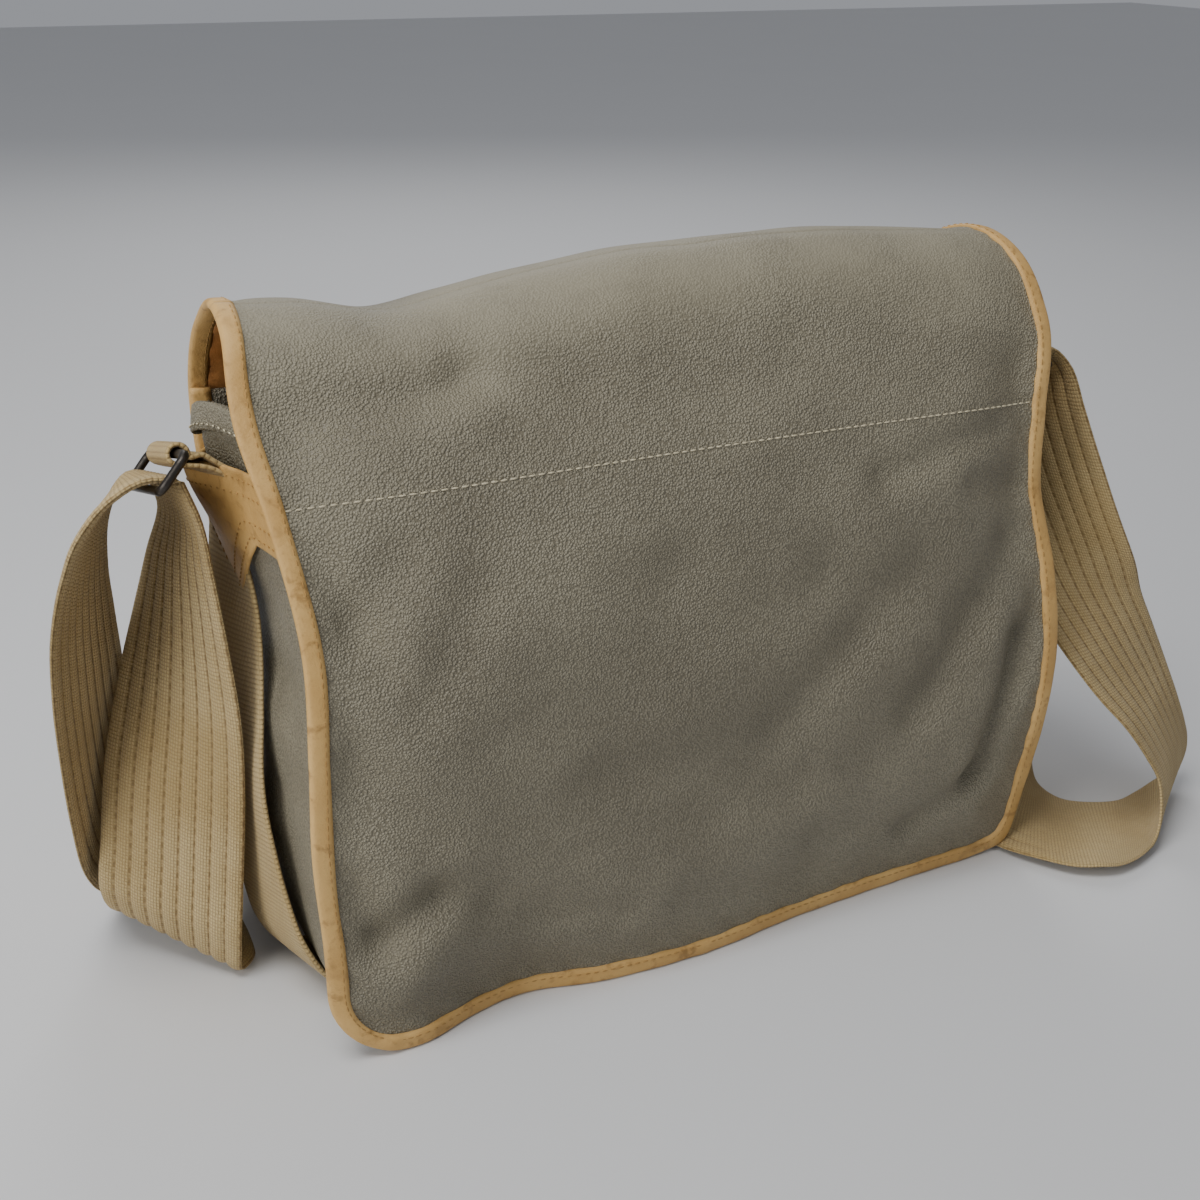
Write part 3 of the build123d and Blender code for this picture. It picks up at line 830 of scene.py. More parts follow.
    def reach(self, from_end: Array, inset: float) -> Array:
        """Half width of a panel near its rounded end.

        Formula: half the width, drawn in along a quarter circle about the corner's
        centre.

        Args:
            from_end: Distance from the panel's end.
            inset: How far inside the bound edge the panel stops.

        Returns:
            Half widths.
        """
        room = self.corner - inset
        drop = np.clip(self.corner - from_end, 0.0, room)
        return self.half - self.corner + np.sqrt(room**2 - drop**2)

    def fold_depth(self, x: Array, s: Array) -> Array:
        """Depth of all creases at a place: each a soft trough about its own line."""
        depth = np.zeros(np.shape(x))
        for fold in self.creases:
            a, b = np.array(fold.start), np.array(fold.end)
            along = b - a
            t = ((x - a[0]) * along[0] + (s - a[1]) * along[1]) / (along @ along)
            near = np.clip(t, 0.0, 1.0)
            away = np.hypot(x - a[0] - near * along[0], s - a[1] - near * along[1])
            depth += self.fold_gain * fold.depth * np.exp(-((away / fold.width) ** 2))
        return depth

    def skin(self, x: Array, s: Array, lift: Array | float = 0.0, puff: float = 1.0) -> Array:
        """Points of the leather skin.

        Formula: the side line at s, moved out along its normal by a swell that grows
        from nothing at the bound edge, less the creases, then slumped.

        Args:
            x: Place across.
            s: Length along the skin from the back's lower edge.
            lift: Distance above the leather's middle surface.
            puff: How much of the swell and creases to keep.

        Returns:
            Points, in millimetres.
        """
        x, s = np.broadcast_arrays(np.asarray(x, float), np.asarray(s, float))
        y = np.interp(s, self.run, self.line[:, 0])
        z = np.interp(s, self.run, self.line[:, 1])
        ny = np.interp(s, self.run, self.outward[:, 0])
        nz = np.interp(s, self.run, self.outward[:, 1])
        flat = np.stack([x, s, 0 * x], axis=-1)
        inset = np.maximum(self.edge_distance(x, s) - EDGE_INSET, 0.0)
        on_back = 1 - smooth_step(s, 230.0, 330.0)
        swell = self.flap_swell + self.back_swell * on_back
        swell = swell * (1 - np.exp(-((inset / 26.0) ** 2)))
        rumple = ripple(flat, 95.0, 4) * 1.1
        rumple += ripple(flat, 38.0, 9) * 0.35
        pucker = 0.45 * np.sin(s / 2.9 + x / 3.1 + 2 * ripple(flat, 60.0, 2))
        pucker *= np.exp(-((inset - 4.0) / 6.0) ** 2) * (inset > 0)
        fade = 1 - np.exp(-((inset / 9.0) ** 2))
        out = puff * (swell + fade * (rumple - self.fold_depth(x, s)) + pucker) + lift
        base = np.stack([x, y + ny * out, z + nz * out], axis=-1)
        return self.slump(base)

    def stretch(self, s: Array, inset: float, columns: int, lift: float = 0.0) -> Array:
        """Grid of skin points with one row at each length along the skin.

        Args:
            s: Lengths along the skin.
            inset: How far inside the bound edge the rows stop.
            columns: Points across.
            lift: Distance above the leather's middle surface.

        Returns:
            Points, shape (lengths, columns, 3).
        """
        reach = self.reach(np.minimum(s, self.length - s), inset)
        x = np.linspace(-1.0, 1.0, columns)[None] * reach[:, None]
        return self.skin(x, s[:, None], lift)

    def edge_path(self, front: bool, spacing: float) -> tuple[Array, Array]:
        """Outline of the back half or of the flap half of the skin.

        Formula: the back's outline, turned end for end for the flap, with its straight
        sides drawn out to the flap's own length.

        Args:
            front: Whether it is the flap's half.
            spacing: Step along the line.

        Returns:
            Places (x, s) on the edge, and the unit direction inwards at each.
        """
        turns = int(self.corner * math.pi / 2 / spacing)
        path, inward = bound_outline(self.half, self.corner, self.top, spacing, turns)
        if front:
            half_run = self.length - self.top
            path[:, 1] = self.length - path[:, 1] * half_run / self.top
            low = path[:, 1] >= self.length - self.corner
            path[low, 1] = self.length - (self.length - path[low, 1]) * self.top / half_run
            inward[:, 1] *= -1
        return path, inward


# ---------------------------------------------------------------- sub-assemblies
@dataclass
class Skin:
    """Back panel and flap leather with their bound edges, linings and seams."""

    form: BagForm
    wardrobe: Wardrobe
    leather: float = 1.6
    binding_width: float = 9.0
    binding_build: float = 4.6
    seam_height: float = 258.0
    fold_back: tuple = ((0, -0.038, 0.268), (0, -0.012, 0.322))
    fold_front: tuple = ((0, 0.050, 0.327), (0, 0.085, 0.276))

    def panel(self, name: str, start: float, end: float) -> bpy.types.Object:
        """One stretch of the leather, with the rows narrowed into the round corners.

        Args:
            name: Name of the piece.
            start: Where it starts along the skin.
            end: Where it ends.

        Returns:
            The new piece.
        """
        form, inset = self.form, 2.0
        s = np.arange(start + inset * (start == 0), end + 0.1, 3.2)
        s[-1] = end - inset * (end == form.length)
        piece = sheet_piece(name, form.stretch(s, inset, 126), self.leather)
        return self.wardrobe.dress(piece, Finish.LEATHER)

    def bound_edge(self, name: str, front: bool) -> bpy.types.Object:
        """Tan leather wrapped round one half of the skin's edge.

        Formula: a flattened ring, half round at the fold and stepped at its sewn side,
        carried along the edge, with a slow change of width and of fullness.
        """
        path, inward = self.form.edge_path(front, 2.5)
        run = length_along(path)
        line = np.column_stack([run, 0 * run, 0 * run])
        width = self.binding_width + 0.45 * ripple(line, 55.0, 21 + front)
        build = self.binding_build * (1 + 0.08 * ripple(line, 24.0, 31))
        for joint in ((run[-1] * 0.5 + 6, run[-1] * 0.66) if not front else (run[-1] * 0.4,)):
            build = build + 0.9 * np.exp(-(((run - joint) / 5.0) ** 2)) * (run > joint - 4)
        turn = np.linspace(-math.pi / 2, math.pi / 2, 9)
        fold_a, fold_b = 2.3 * (1 - np.cos(turn)), np.sin(turn)
        flat = np.linspace(0.28, 1.0, 5)
        a_upper = flat[None] * width[:, None]
        crown = 1.0 + 0.1 * np.sin(np.pi * (flat - 0.28) / 0.72) - 0.25 * (flat > 0.95)
        fold = np.broadcast_to(fold_a[::-1], (len(run), len(turn)))
        a = np.concatenate([a_upper[:, ::-1], fold, a_upper], axis=1)
        b = np.concatenate([crown[::-1], fold_b[::-1] * 0.98, -crown])[None] * build[:, None] / 2
        place = path[:, None] + inward[:, None] * a[..., None]
        rings = self.form.skin(place[..., 0], place[..., 1], b, puff=0.0)
        return self.wardrobe.dress(swept_piece(name, rings), Finish.TAN)

    def edge_stitches(self, name: str, front: bool, side: float) -> bpy.types.Object:
        """Stitches that hold the bound edge on one face."""
        path, inward = self.form.edge_path(front, 0.5)
        run = length_along(path)
        at = np.arange(3.0, run[-1] - 3.0, EDGE_PITCH)
        place = read_rows(path, run, at) + unit(read_rows(inward, run, at)) * EDGE_INSET
        lift = side * (self.binding_build / 2 + 0.22)
        points = self.form.skin(place[:, 0], place[:, 1], lift, puff=0.0)
        under = self.form.skin(place[:, 0], place[:, 1], 0.0, puff=0.0)
        ways = np.gradient(points, axis=0)
        piece = stitch_piece(name, points, ways, unit(points - under), (3.0, 0.7, 0.7))
        return self.wardrobe.dress(piece, Finish.TAN_THREAD)

    def seam(self) -> bpy.types.Object:
        """Stitch line right across the back, which holds the inner pocket."""
        s = float(np.interp(self.seam_height, self.form.line[:400, 1], self.form.run[:400]))
        x = np.arange(-190.0, 190.5, 4.4)
        sag = s + 1.2 * np.cos(x / 95.0) - 0.6
        lift = self.leather / 2 + 0.2
        points = self.form.skin(x, sag, lift)
        normals = unit(points - self.form.skin(x, sag, 0.0))
        piece = stitch_piece("back_seam_stitches", points, np.gradient(points, axis=0), normals,
                             (3.5, 0.95, 0.8))
        return self.wardrobe.dress(piece, Finish.CREAM_THREAD)

    def lining(self, name: str, start: float, end: float) -> bpy.types.Object:
        """Tan lining on the inside of one stretch of the flap."""
        s = np.arange(start, end, 5.0)
        middle = self.form.stretch(s, self.binding_width, 61, -(self.leather / 2 + 0.65))
        return self.wardrobe.dress(sheet_piece(name, middle, 0.8), Finish.FLAP_LINING)

    def build(self) -> None:
        """Make all pieces; the rear flap lining goes with the flap's top and the back seam with the
        bag.
        """
        form = self.form
        bend = float(np.interp(-22.4, form.line[:500, 0], form.run[:500]))
        back = ("bag", "flap_top", *self.fold_back)
        front = ("flap_top", "flap_front", *self.fold_front)
        pieces = [
            (self.panel("back_leather", 0.0, form.top), back, ("back_panel",)),
            (self.panel("flap_leather", form.top, form.length), front, ("flap_top", "flap_front")),
            (self.bound_edge("back_edge", False), back, ("back_binding",)),
            (self.bound_edge("flap_edge", True), front, ("flap_binding_top", "flap_binding_front")),
            (self.lining("flap_lining_rear", bend + 6.0, form.top), None, ("flap_lining_top",)),
            (self.lining("flap_lining_hanging", form.top, form.length - 10.0), front,
             ("flap_lining_front",)),
        ]
        for side, word in ((1.0, "outer"), (-1.0, "inner")):
            pieces.append((self.edge_stitches(f"back_edge_stitches_{word}", False, side), back, ()))
            pieces.append((self.edge_stitches(f"flap_edge_stitches_{word}", True, side), front, ()))
        for piece, fold, nodes in pieces:
            if nodes:
                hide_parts(*nodes)
            if fold is None:
                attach(piece, "flap_top")
            else:
                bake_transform(piece)
            log.info("made %s", piece.name)
        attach(self.seam(), "bag")


@dataclass
class Body:
    """Front panel, sides, base, lining, pocket and yokes of the bag."""

    form: BagForm
    wardrobe: Wardrobe
    side_face: float = 190.2
    base_level: float = 4.0
    base_corner: float = 31.0
    hem: float = 285.0           # height of the sides' tops, before their slope
    hem_rise: float = 5.0        # at the back
    hem_drop: float = 12.0       # at the front
    front_face: float = 77.2
    front_top: float = 280.0
    belly: float = 6.5           # how far the sides swell out
    leather: float = 1.6
    bulge: dict[int, float] = field(default_factory=lambda: {-1: 12.0, 1: 3.0})

    def settle(self, side: int, points: Array) -> Array:
        """Bulge a side out where the strap's loop pulls, and slope its hem to the front.

        Formula: a bell-shaped push outwards about the loop's foot; near the hem, a rise
        at the back that turns smoothly into a drop at the front.
        """
        y, z = points[..., 1], points[..., 2]
        push = self.bulge[side] * bell(y, 32.0, 28.0, z, 262.0, 35.0)
        slope = self.hem_rise - (self.hem_rise + self.hem_drop) * smooth_step(y, 0.0, 70.0)
        rise = slope * smooth_step(z, 225.0, self.hem)
        return self.form.slump(points + np.stack([side * push, 0 * y, rise], axis=-1))

    def back_y(self, z: Array) -> Array:
        """Y of the inside of the back leather at a height."""
        return np.interp(z, self.form.line[:420, 1], self.form.line[:420, 0]) + 3.0

    def strip(self, name: str, start: float, end: float, side: int) -> bpy.types.Object:
        """Stretch of the side-and-base strip.

        Formula: a line down the side, round a quarter circle and along the base gives x
        and z; across it y runs from the back seam to the front seam, and the side
        swells outwards in its middle.

        Args:
            name: Name of the piece.
            start: First length along the line, 0 at the hem.
            end: Last length.
            side: 1 for right, -1 for left.

        Returns:
            The new piece.
        """
        r = self.base_corner
        straight = self.hem - self.base_level - r
        run = np.arange(start, end + 0.1, 3.5)
        angle = np.clip((run - straight) / r, 0.0, math.pi / 2)
        past = np.maximum(run - straight - r * math.pi / 2, 0.0)
        x = side * (self.side_face - r * (1 - np.cos(angle)) - past)
        z = self.hem - np.minimum(run, straight) - r * np.sin(angle)
        across = np.linspace(0.0, 1.0, 41)
        rear = self.back_y(z)
        y = rear[:, None] + (self.front_face - 2.6 - rear)[:, None] * across[None]
        fade = 1 - smooth_step(run, straight - 40, straight + 30)
        swell = np.sin(np.pi * across) ** 0.8 * fade[:, None]
        points = np.stack(np.broadcast_arrays(x[:, None], y, z[:, None]), axis=-1)
        wave = ripple(points, 60.0, 5 + side) * 1.6 + ripple(points, 26.0, 15 + side) * 0.5
        out = swell * (self.belly * smooth_step(run, -30.0, 60.0)[:, None] + wave)
        points = points + side * out[..., None] * np.array([1.0, 0.0, 0.0])
        piece = sheet_piece(name, self.settle(side, points), self.leather)
        return self.wardrobe.dress(piece, Finish.LEATHER)

    def side_point(self, side: int, y: Array, z: Array, lift: float) -> Array:
        """Points on a side's outer face, with a swell towards its middle."""
        rear = self.back_y(z)
        t = np.clip((y - rear) / (self.front_face - 2.6 - rear), 0.0, 1.0)
        out = self.side_face + 0.8 + lift + self.belly * np.sin(np.pi * t) ** 0.8
        return self.settle(side, np.stack([side * out, y, z], axis=-1))

    def sewn(self, name: str, rows: list[Array], out: tuple[float, float, float],
             size: tuple[float, float, float], thread: Finish) -> bpy.types.Object:
        """Rows of stitches on a face that looks one way all over.

        Args:
            name: Name of the piece.
            rows: Middles of the stitches, row by row.
            out: Direction out of the face.
            size: Length, width and height of one stitch.
            thread: Finish of the thread.

        Returns:
            The new piece.
        """
        points = np.concatenate(rows)
        ways = np.concatenate([np.gradient(row, axis=0) for row in rows])
        normals = np.tile(out, (len(points), 1))
        return self.wardrobe.dress(stitch_piece(name, points, ways, normals, size), thread)

    def hem_pieces(self, side: int, word: str) -> list[bpy.types.Object]:
        """Folded hem at the top of a side, and its stitches."""
        y = np.linspace(self.back_y(np.array(278.0)) + 1.0, self.front_face - 4.0, 40)
        z = np.linspace(self.hem + 1.0, self.hem - 10.0, 6)
        grid_y, grid_z = np.meshgrid(y, z)
        fold = self.side_point(side, grid_y, grid_z, 0.7)
        hem = self.wardrobe.dress(sheet_piece(f"hem_{word}", fold, 1.5), Finish.LEATHER)
        at = np.arange(y[0] + 3, y[-1] - 2, EDGE_PITCH)
        row = self.side_point(side, at, np.full(len(at), self.hem - 8.0), 1.75)
        return [hem, self.sewn(f"hem_stitches_{word}", [row], (float(side), 0.0, 0.0),
                               (3.2, 0.9, 0.8), Finish.CREAM_THREAD)]

    def front_panel(self) -> bpy.types.Object:
        """Flat leather panel under the flap."""
        z = np.arange(2.0, self.front_top, 4.0)
        x = np.linspace(-1.0, 1.0, 81)[None] * self.form.reach(z, 2.0)[:, None]
        inset = np.minimum(200.0 - np.abs(x), z[:, None]) - 8.0
        swell = 2.2 * (1 - np.exp(-((np.maximum(inset, 0) / 30.0) ** 2))) * (z < 90)[:, None]
        y = self.front_face + swell * (1 - smooth_step(z, 40.0, 88.0))[:, None]
        middle = np.stack([x, y, np.broadcast_to(z[:, None], x.shape)], axis=-1)
        piece = sheet_piece("front_leather", self.form.slump(middle), self.leather)
        return self.wardrobe.dress(piece, Finish.LEATHER)

    def front_edge(self) -> list[bpy.types.Object]:
        """Bound edge of the front panel with its stitches on the outside."""
        form = self.form
        path, inward = bound_outline(form.half, form.corner, self.front_top, 3.0, 22)
        turn = np.linspace(-math.pi / 2, math.pi / 2, 7)
        a = np.concatenate([[9.0, 6.0, 3.0], 1.6 * (1 - np.cos(turn)), [3.0, 6.0, 9.0]])
        b = np.concatenate([[1.4, 1.65, 1.7], -1.6 * np.sin(turn), [-1.7, -1.65, -1.4]])
        place = path[:, None] + inward[:, None] * a[None, :, None]
        depth = np.broadcast_to(self.front_face + b, place.shape[:2])
        rings = form.slump(np.stack([place[..., 0], depth, place[..., 1]], axis=-1))
        edge = self.wardrobe.dress(swept_piece("front_edge", rings), Finish.TAN)
        run = length_along(path)
        at = np.arange(4.0, run[-1] - 4.0, EDGE_PITCH)
        middle = read_rows(path + inward * EDGE_INSET, run, at)
        level = np.full(len(at), self.front_face + 1.85)
        row = form.slump(np.stack([middle[:, 0], level, middle[:, 1]], axis=-1))
        return [edge, self.sewn("front_edge_stitches", [row], (0.0, 1.0, 0.0), (3.0, 0.7, 0.7),
                                Finish.TAN_THREAD)]

    def lining(self) -> bpy.types.Object:
        """Open-topped cloth bag inside the leather.

        Formula: rounded rectangles stacked from the floor to the mouth, with the floor
        drawn in to a point, and vertical folds that die out downwards.
        """
        levels = np.concatenate([np.full(5, 9.0), np.linspace(9.5, 272.0, 52)])
        shrink = np.concatenate([[0.02, 0.3, 0.6, 0.85, 0.97], np.ones(52)])
        turn = np.linspace(0.0, 2 * math.pi, 161)[:-1]
        box = np.stack([np.sign(np.cos(turn)) * np.abs(np.cos(turn)) ** 0.22,
                        np.sign(np.sin(turn)) * np.abs(np.sin(turn)) ** 0.3], axis=1)
        rear, front = self.back_y(levels) + 2.0, self.front_face - 3.6
        low = np.sqrt(np.clip(1 - (np.clip(40.0 - levels, 0, 31) / 32.0) ** 2, 0, 1))
        width = 187.0 - 31.0 * (1 - low)
        x = box[None, :, 0] * (width * shrink)[:, None]
        y = (rear + front)[:, None] / 2 + box[None, :, 1] * ((front - rear) / 2 * shrink)[:, None]
        z = np.broadcast_to(levels[:, None], x.shape)
        points = np.stack([x, y, z], axis=-1)
        fold = 0.9 * ripple(points * [1, 1, 0.25], 34.0, 8) * smooth_step(z, 20.0, 120.0)
        centre = np.stack([np.zeros(x.shape), (rear + front)[:, None] / 2 + 0 * x, z], axis=-1)
        points = points - unit(points - centre) * (1.0 + fold)[..., None]
        inner = points - unit(points - centre) * 0.8
        shell = np.concatenate([points, inner[::-1]])
        shell[len(points):, :, 2] += np.where(shell[len(points):, :, 2] < 12.0, 0.8, 0.0)
        rows = capped(self.form.slump(shell))
        piece = make_piece("lining_cloth", rows.reshape(-1, 3), grid_faces(*rows.shape[:2]))
        return self.wardrobe.dress(piece, Finish.CLOTH)

    def pocket(self) -> bpy.types.Object:
        """Flat inner pocket against the back, a slim open-topped box of cloth."""
        z = np.concatenate([np.full(3, 91.0), np.linspace(92.0, 246.0, 40)])
        depth = 7.6 * np.concatenate([[0.05, 0.5, 0.9], np.ones(40)])
        line = np.interp(z, (90.0, 130.0, 200.0, 248.0), (-51.6, -50.6, -42.0, -28.6))
        x = np.linspace(-148.0, 148.0, 75)
        grid_x, grid_z = np.meshgrid(x, z)
        reach = np.clip((150.0 - np.abs(grid_x)) / 8.0, 0.0, 1.0) ** 0.5
        y = line[:, None] - 8.6 + depth[:, None] * reach
        middle = np.stack([grid_x, y + 0.35 * np.sin(grid_x / 21.0), grid_z], axis=-1)
        piece = sheet_piece("pocket_cloth", self.form.slump(middle), 1.2)
        return self.wardrobe.dress(piece, Finish.CLOTH)

    def patch(self, side: int, word: str) -> list[bpy.types.Object]:
        """Tan yoke on a side with double stitch rows along its top, bottom and point.

        Formula: y runs across, and each column drops from the top edge to a lower edge
        that dips to a point over the webbing; the whole stands out over what it covers.
        """
        top, low, tip = 262.0, 232.0, 190.0
        rear, shoulder, point, chest, front = -36.0, -6.0, 28.0, 54.0, 72.5
        y = np.concatenate([np.linspace(rear, point, 33), np.linspace(point, front, 24)[1:]])
        bottom = np.interp(y, (rear, shoulder, point, chest, front), (low, low, tip, low, low))
        z = top + (bottom - top)[None] * np.linspace(0.0, 1.0, 26)[:, None]

        def lay(at_y: Array, at_z: Array, extra: float) -> Array:
            """Points on the yoke's face, which starts under the back's bound edge."""
            fitted = np.where(at_y < 0.0, at_y / rear * (self.back_y(at_z) + 0.5), at_y)
            over = 1.4 + 4.6 * np.exp(-(((at_y - 32.0) / 34.0) ** 4))
            return self.side_point(side, fitted, at_z, over + extra)

        middle = lay(np.broadcast_to(y, z.shape), z, 0.0)
        yoke = self.wardrobe.dress(sheet_piece(f"yoke_{word}", middle, self.leather), Finish.TAN)
        across = np.arange(-33.0, 70.0, YOKE_PITCH)
        dense_y = np.linspace(-33.0, 70.0, 400)
        rows = []
        for inset in (3.2, 9.5):
            level, draw = low + inset, inset * 0.4
            lower = np.interp(across, (rear, shoulder + draw, point, chest - draw, front),
                              (level, level, tip + inset * 1.5, level, level))
            edge = np.column_stack([dense_y, np.interp(dense_y, across, lower)])
            run = length_along(edge)
            edge = read_rows(edge, run, np.arange(1.0, run[-1], YOKE_PITCH))
            rows.append(lay(across, np.full(len(across), top - inset), 1.0))
            rows.append(lay(edge[:, 0], edge[:, 1], 1.0))
        return [yoke, self.sewn(f"yoke_stitches_{word}", rows, (float(side), 0.0, 0.0),
                                (2.6, 0.8, 0.7), Finish.TAN_THREAD)]

    def build(self) -> None:
        """Make all pieces, which stay with the bag's body."""
        r = self.base_corner
        seam = self.hem - self.base_level - r + r * math.pi / 2 + 2.0
        half_base = self.side_face - r - 2.0
        pieces = [(self.strip(f"side_{word}", 0.0, seam, side), (f"gusset_{word}",))
                  for word, side in SIDES.items()]
        base = self.strip("base_leather", seam + 0.5, seam + 2 * half_base - 1.0, 1)
        pieces += [(base, ("base_panel",)), (self.front_panel(), ("front_panel",)),
                   (self.lining(), ("lining",)), (self.pocket(), ("inner_pocket",))]
        edge, edge_rows = self.front_edge()
        pieces += [(edge, ("front_binding",)), (edge_rows, ())]
        for word, side in SIDES.items():
            yoke, yoke_rows = self.patch(side, word)
            pieces += [(yoke, (f"side_patch_{word}",)), (yoke_rows, ())]
            pieces += [(piece, ()) for piece in self.hem_pieces(side, word)]
        for piece, nodes in pieces:
            if nodes:
                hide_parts(*nodes)
            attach(piece, "bag")
            log.info("made %s", piece.name)


def band_surface(route: Sequence[Station], spacing: float, columns: int) -> Array:
    """Middle surface of a band through near and far edge points.

    Formula: both edges are smooth lines with the same parameter, joined across by
    straight lines of one length.

    Args:
        route: Near and far edge points, in millimetres.
        spacing: Step along the band.
        columns: Points across.

    Returns:
        Points, shape (rows, columns, 3).
    """
    near, far = (np.array([pair[i] for pair in route], float) for i in (0, 1))
    rows = even_line(np.concatenate([(near + far) / 2, far - near], axis=1), spacing)
    width = np.linalg.norm(far - near, axis=1).mean()
    across = unit(rows[:, 3:]) * width
    t = np.linspace(-0.5, 0.5, columns)
    return rows[:, None, :3] + across[:, None] * t[None, :, None]


SUPPORT_ROUTE: tuple[Station, ...] = (
    ((-204.8, 14, 240), (-198.8, 60, 240)), ((-203, 12, 212), (-206, 56, 206)),
    ((-202, 8, 188), (-210, 54, 180)), ((-202, 4, 168), (-210, 51, 156)),
    ((-203, 0, 148), (-209, 48, 134)), ((-205, -5, 122), (-209, 42, 106)),
    ((-205, -11, 92), (-211, 36, 78)), ((-203, -18, 60), (-212, 30, 50)),
    ((-197, -23, 34), (-207, 25, 25)), ((-184, -22, 12), (-195, 27, 8)),
    ((-168, -19, 2.6), (-172, 31, 1.8)), ((-146, -17, 1.4), (-146, 33, 1.4)),
    ((-60, -17, 1.4), (-60, 33, 1.4)), ((60, -17, 1.4), (60, 33, 1.4)),
    ((146, -17, 1.4), (146, 33, 1.4)), ((170, -17, 2.2), (170, 33, 2.2)),
    ((188, -17, 13), (188, 33, 13)), ((199, -16, 36), (199, 34, 36)),
    ((203, -8, 90), (203, 42, 88)), ((204, 2, 150), (204, 52, 146)),
    ((204, 10, 205), (204, 60, 199)), ((200.7, 15, 240), (195.5, 64, 236)))

STRAP_ROUTE: tuple[Station, ...] = (
    ((-232, -7, 266.5), (-232, 66, 246)), ((-244, -7, 268), (-238.5, 66, 247)),
    ((-260, -7, 261), (-246, 65, 240)), ((-273, -7, 248), (-251, 64, 228)),
    ((-282, -4, 228), (-253, 65, 207)), ((-288, 2, 202), (-252, 68, 184)),
    ((-290, 12, 168), (-250, 76, 156)), ((-289, 26, 128), (-248, 90, 128)),
    ((-286, 42, 84), (-246, 102, 104)), ((-281, 62, 44), (-242, 112, 88)),
    ((-268, 90, 14), (-236, 122, 78)), ((-252, 112, 3), (-226, 128, 73)),
    ((-232, 124, 2.5), (-214, 131, 76)), ((-212, 128, 4), (-205, 128, 80)),
    ((-192, 128, 4), (-192, 128, 80)), ((-165, 128, 4), (-165, 128, 80)),
    ((-120, 124, 2), (-120, 124, 78)), ((-40, 111, 0.1), (-40, 111, 76.1)),
    ((40, 103, 0.1), (40, 103, 76.1)), ((110, 101, 0.1), (110, 101, 76.1)),
    ((165, 102, 0.1), (165, 102, 76.1)), ((194, 98, 0.1), (194, 98, 76.1)),
    ((209, 84, 0.3), (210, 84, 76.3)), ((208, 60, 0.6), (222, 66, 75)),
    ((206, 38, 1), (240, 50, 67)), ((203, 16, 1.5), (255, 28, 56)),
    ((199, -6, 2), (261, 8, 42)), ((195, -30, 2.5), (256, -4, 30)),
    ((193, -56, 3.5), (249, -14, 19)), ((201, -80, 6), (248, -23, 10)),
    ((213, -97, 7), (256, -35, 4)), ((226, -104, 8), (267, -43, 2.5)),
    ((238, -107, 7), (286, -49, 2)), ((255, -104, 7), (304, -47, 2.5)),
    ((268, -99, 9), (321, -44, 5)), ((275, -94, 18), (335, -46, 12)),
    ((277, -90, 30), (340, -46, 22)), ((275, -87, 42), (339, -46, 33)),
    ((268, -85, 53), (334, -47, 44)), ((254, -80, 73), (322, -48, 66)),
    ((238, -70, 93), (308, -45, 94)), ((221, -58, 117), (296, -45, 116)),
    ((209, -34, 147), (283, -44, 139)), ((210, 0, 178), (270, -45, 166)),
    ((214, 30, 208), (258, -32, 204)), ((224, 52, 234), (246, -20, 243)),
    ((237, 61, 244), (240, -12, 264)), ((229.5, 66, 251), (231, -7, 272)),
    ((223, 66.5, 249), (223, -6.5, 270)), ((221, 66.5, 240), (221, -6.5, 261)))

TAIL_ROUTE: tuple[Station, ...] = (
    ((-229.5, -7, 264.5), (-229.5, 66, 244)), ((-223.5, -6, 246), (-226, 68, 230)),
    ((-220, -3, 222), (-233, 70, 208)), ((-216, 0, 186), (-242, 70, 180)),
    ((-213, 0, 140), (-255, 62, 146)), ((-214, 1, 100), (-266, 56, 112)),
    ((-218, 3, 55), (-273, 54, 70)), ((-221, 6, 20), (-276, 54, 40)),
    ((-220, 12, 4), (-271, 63, 26)), ((-213, 21, 3), (-262, 71, 27)),
    ((-210, 36, 4), (-250, 82, 48)), ((-212, 62, 4), (-236, 92, 68)),
    ((-216, 84, 4), (-226, 98, 78)), ((-215, 102, 4), (-215, 104, 80)),
    ((-205, 113, 4), (-205, 113, 80)), ((-190, 118.7, 4), (-190, 118.7, 80)))


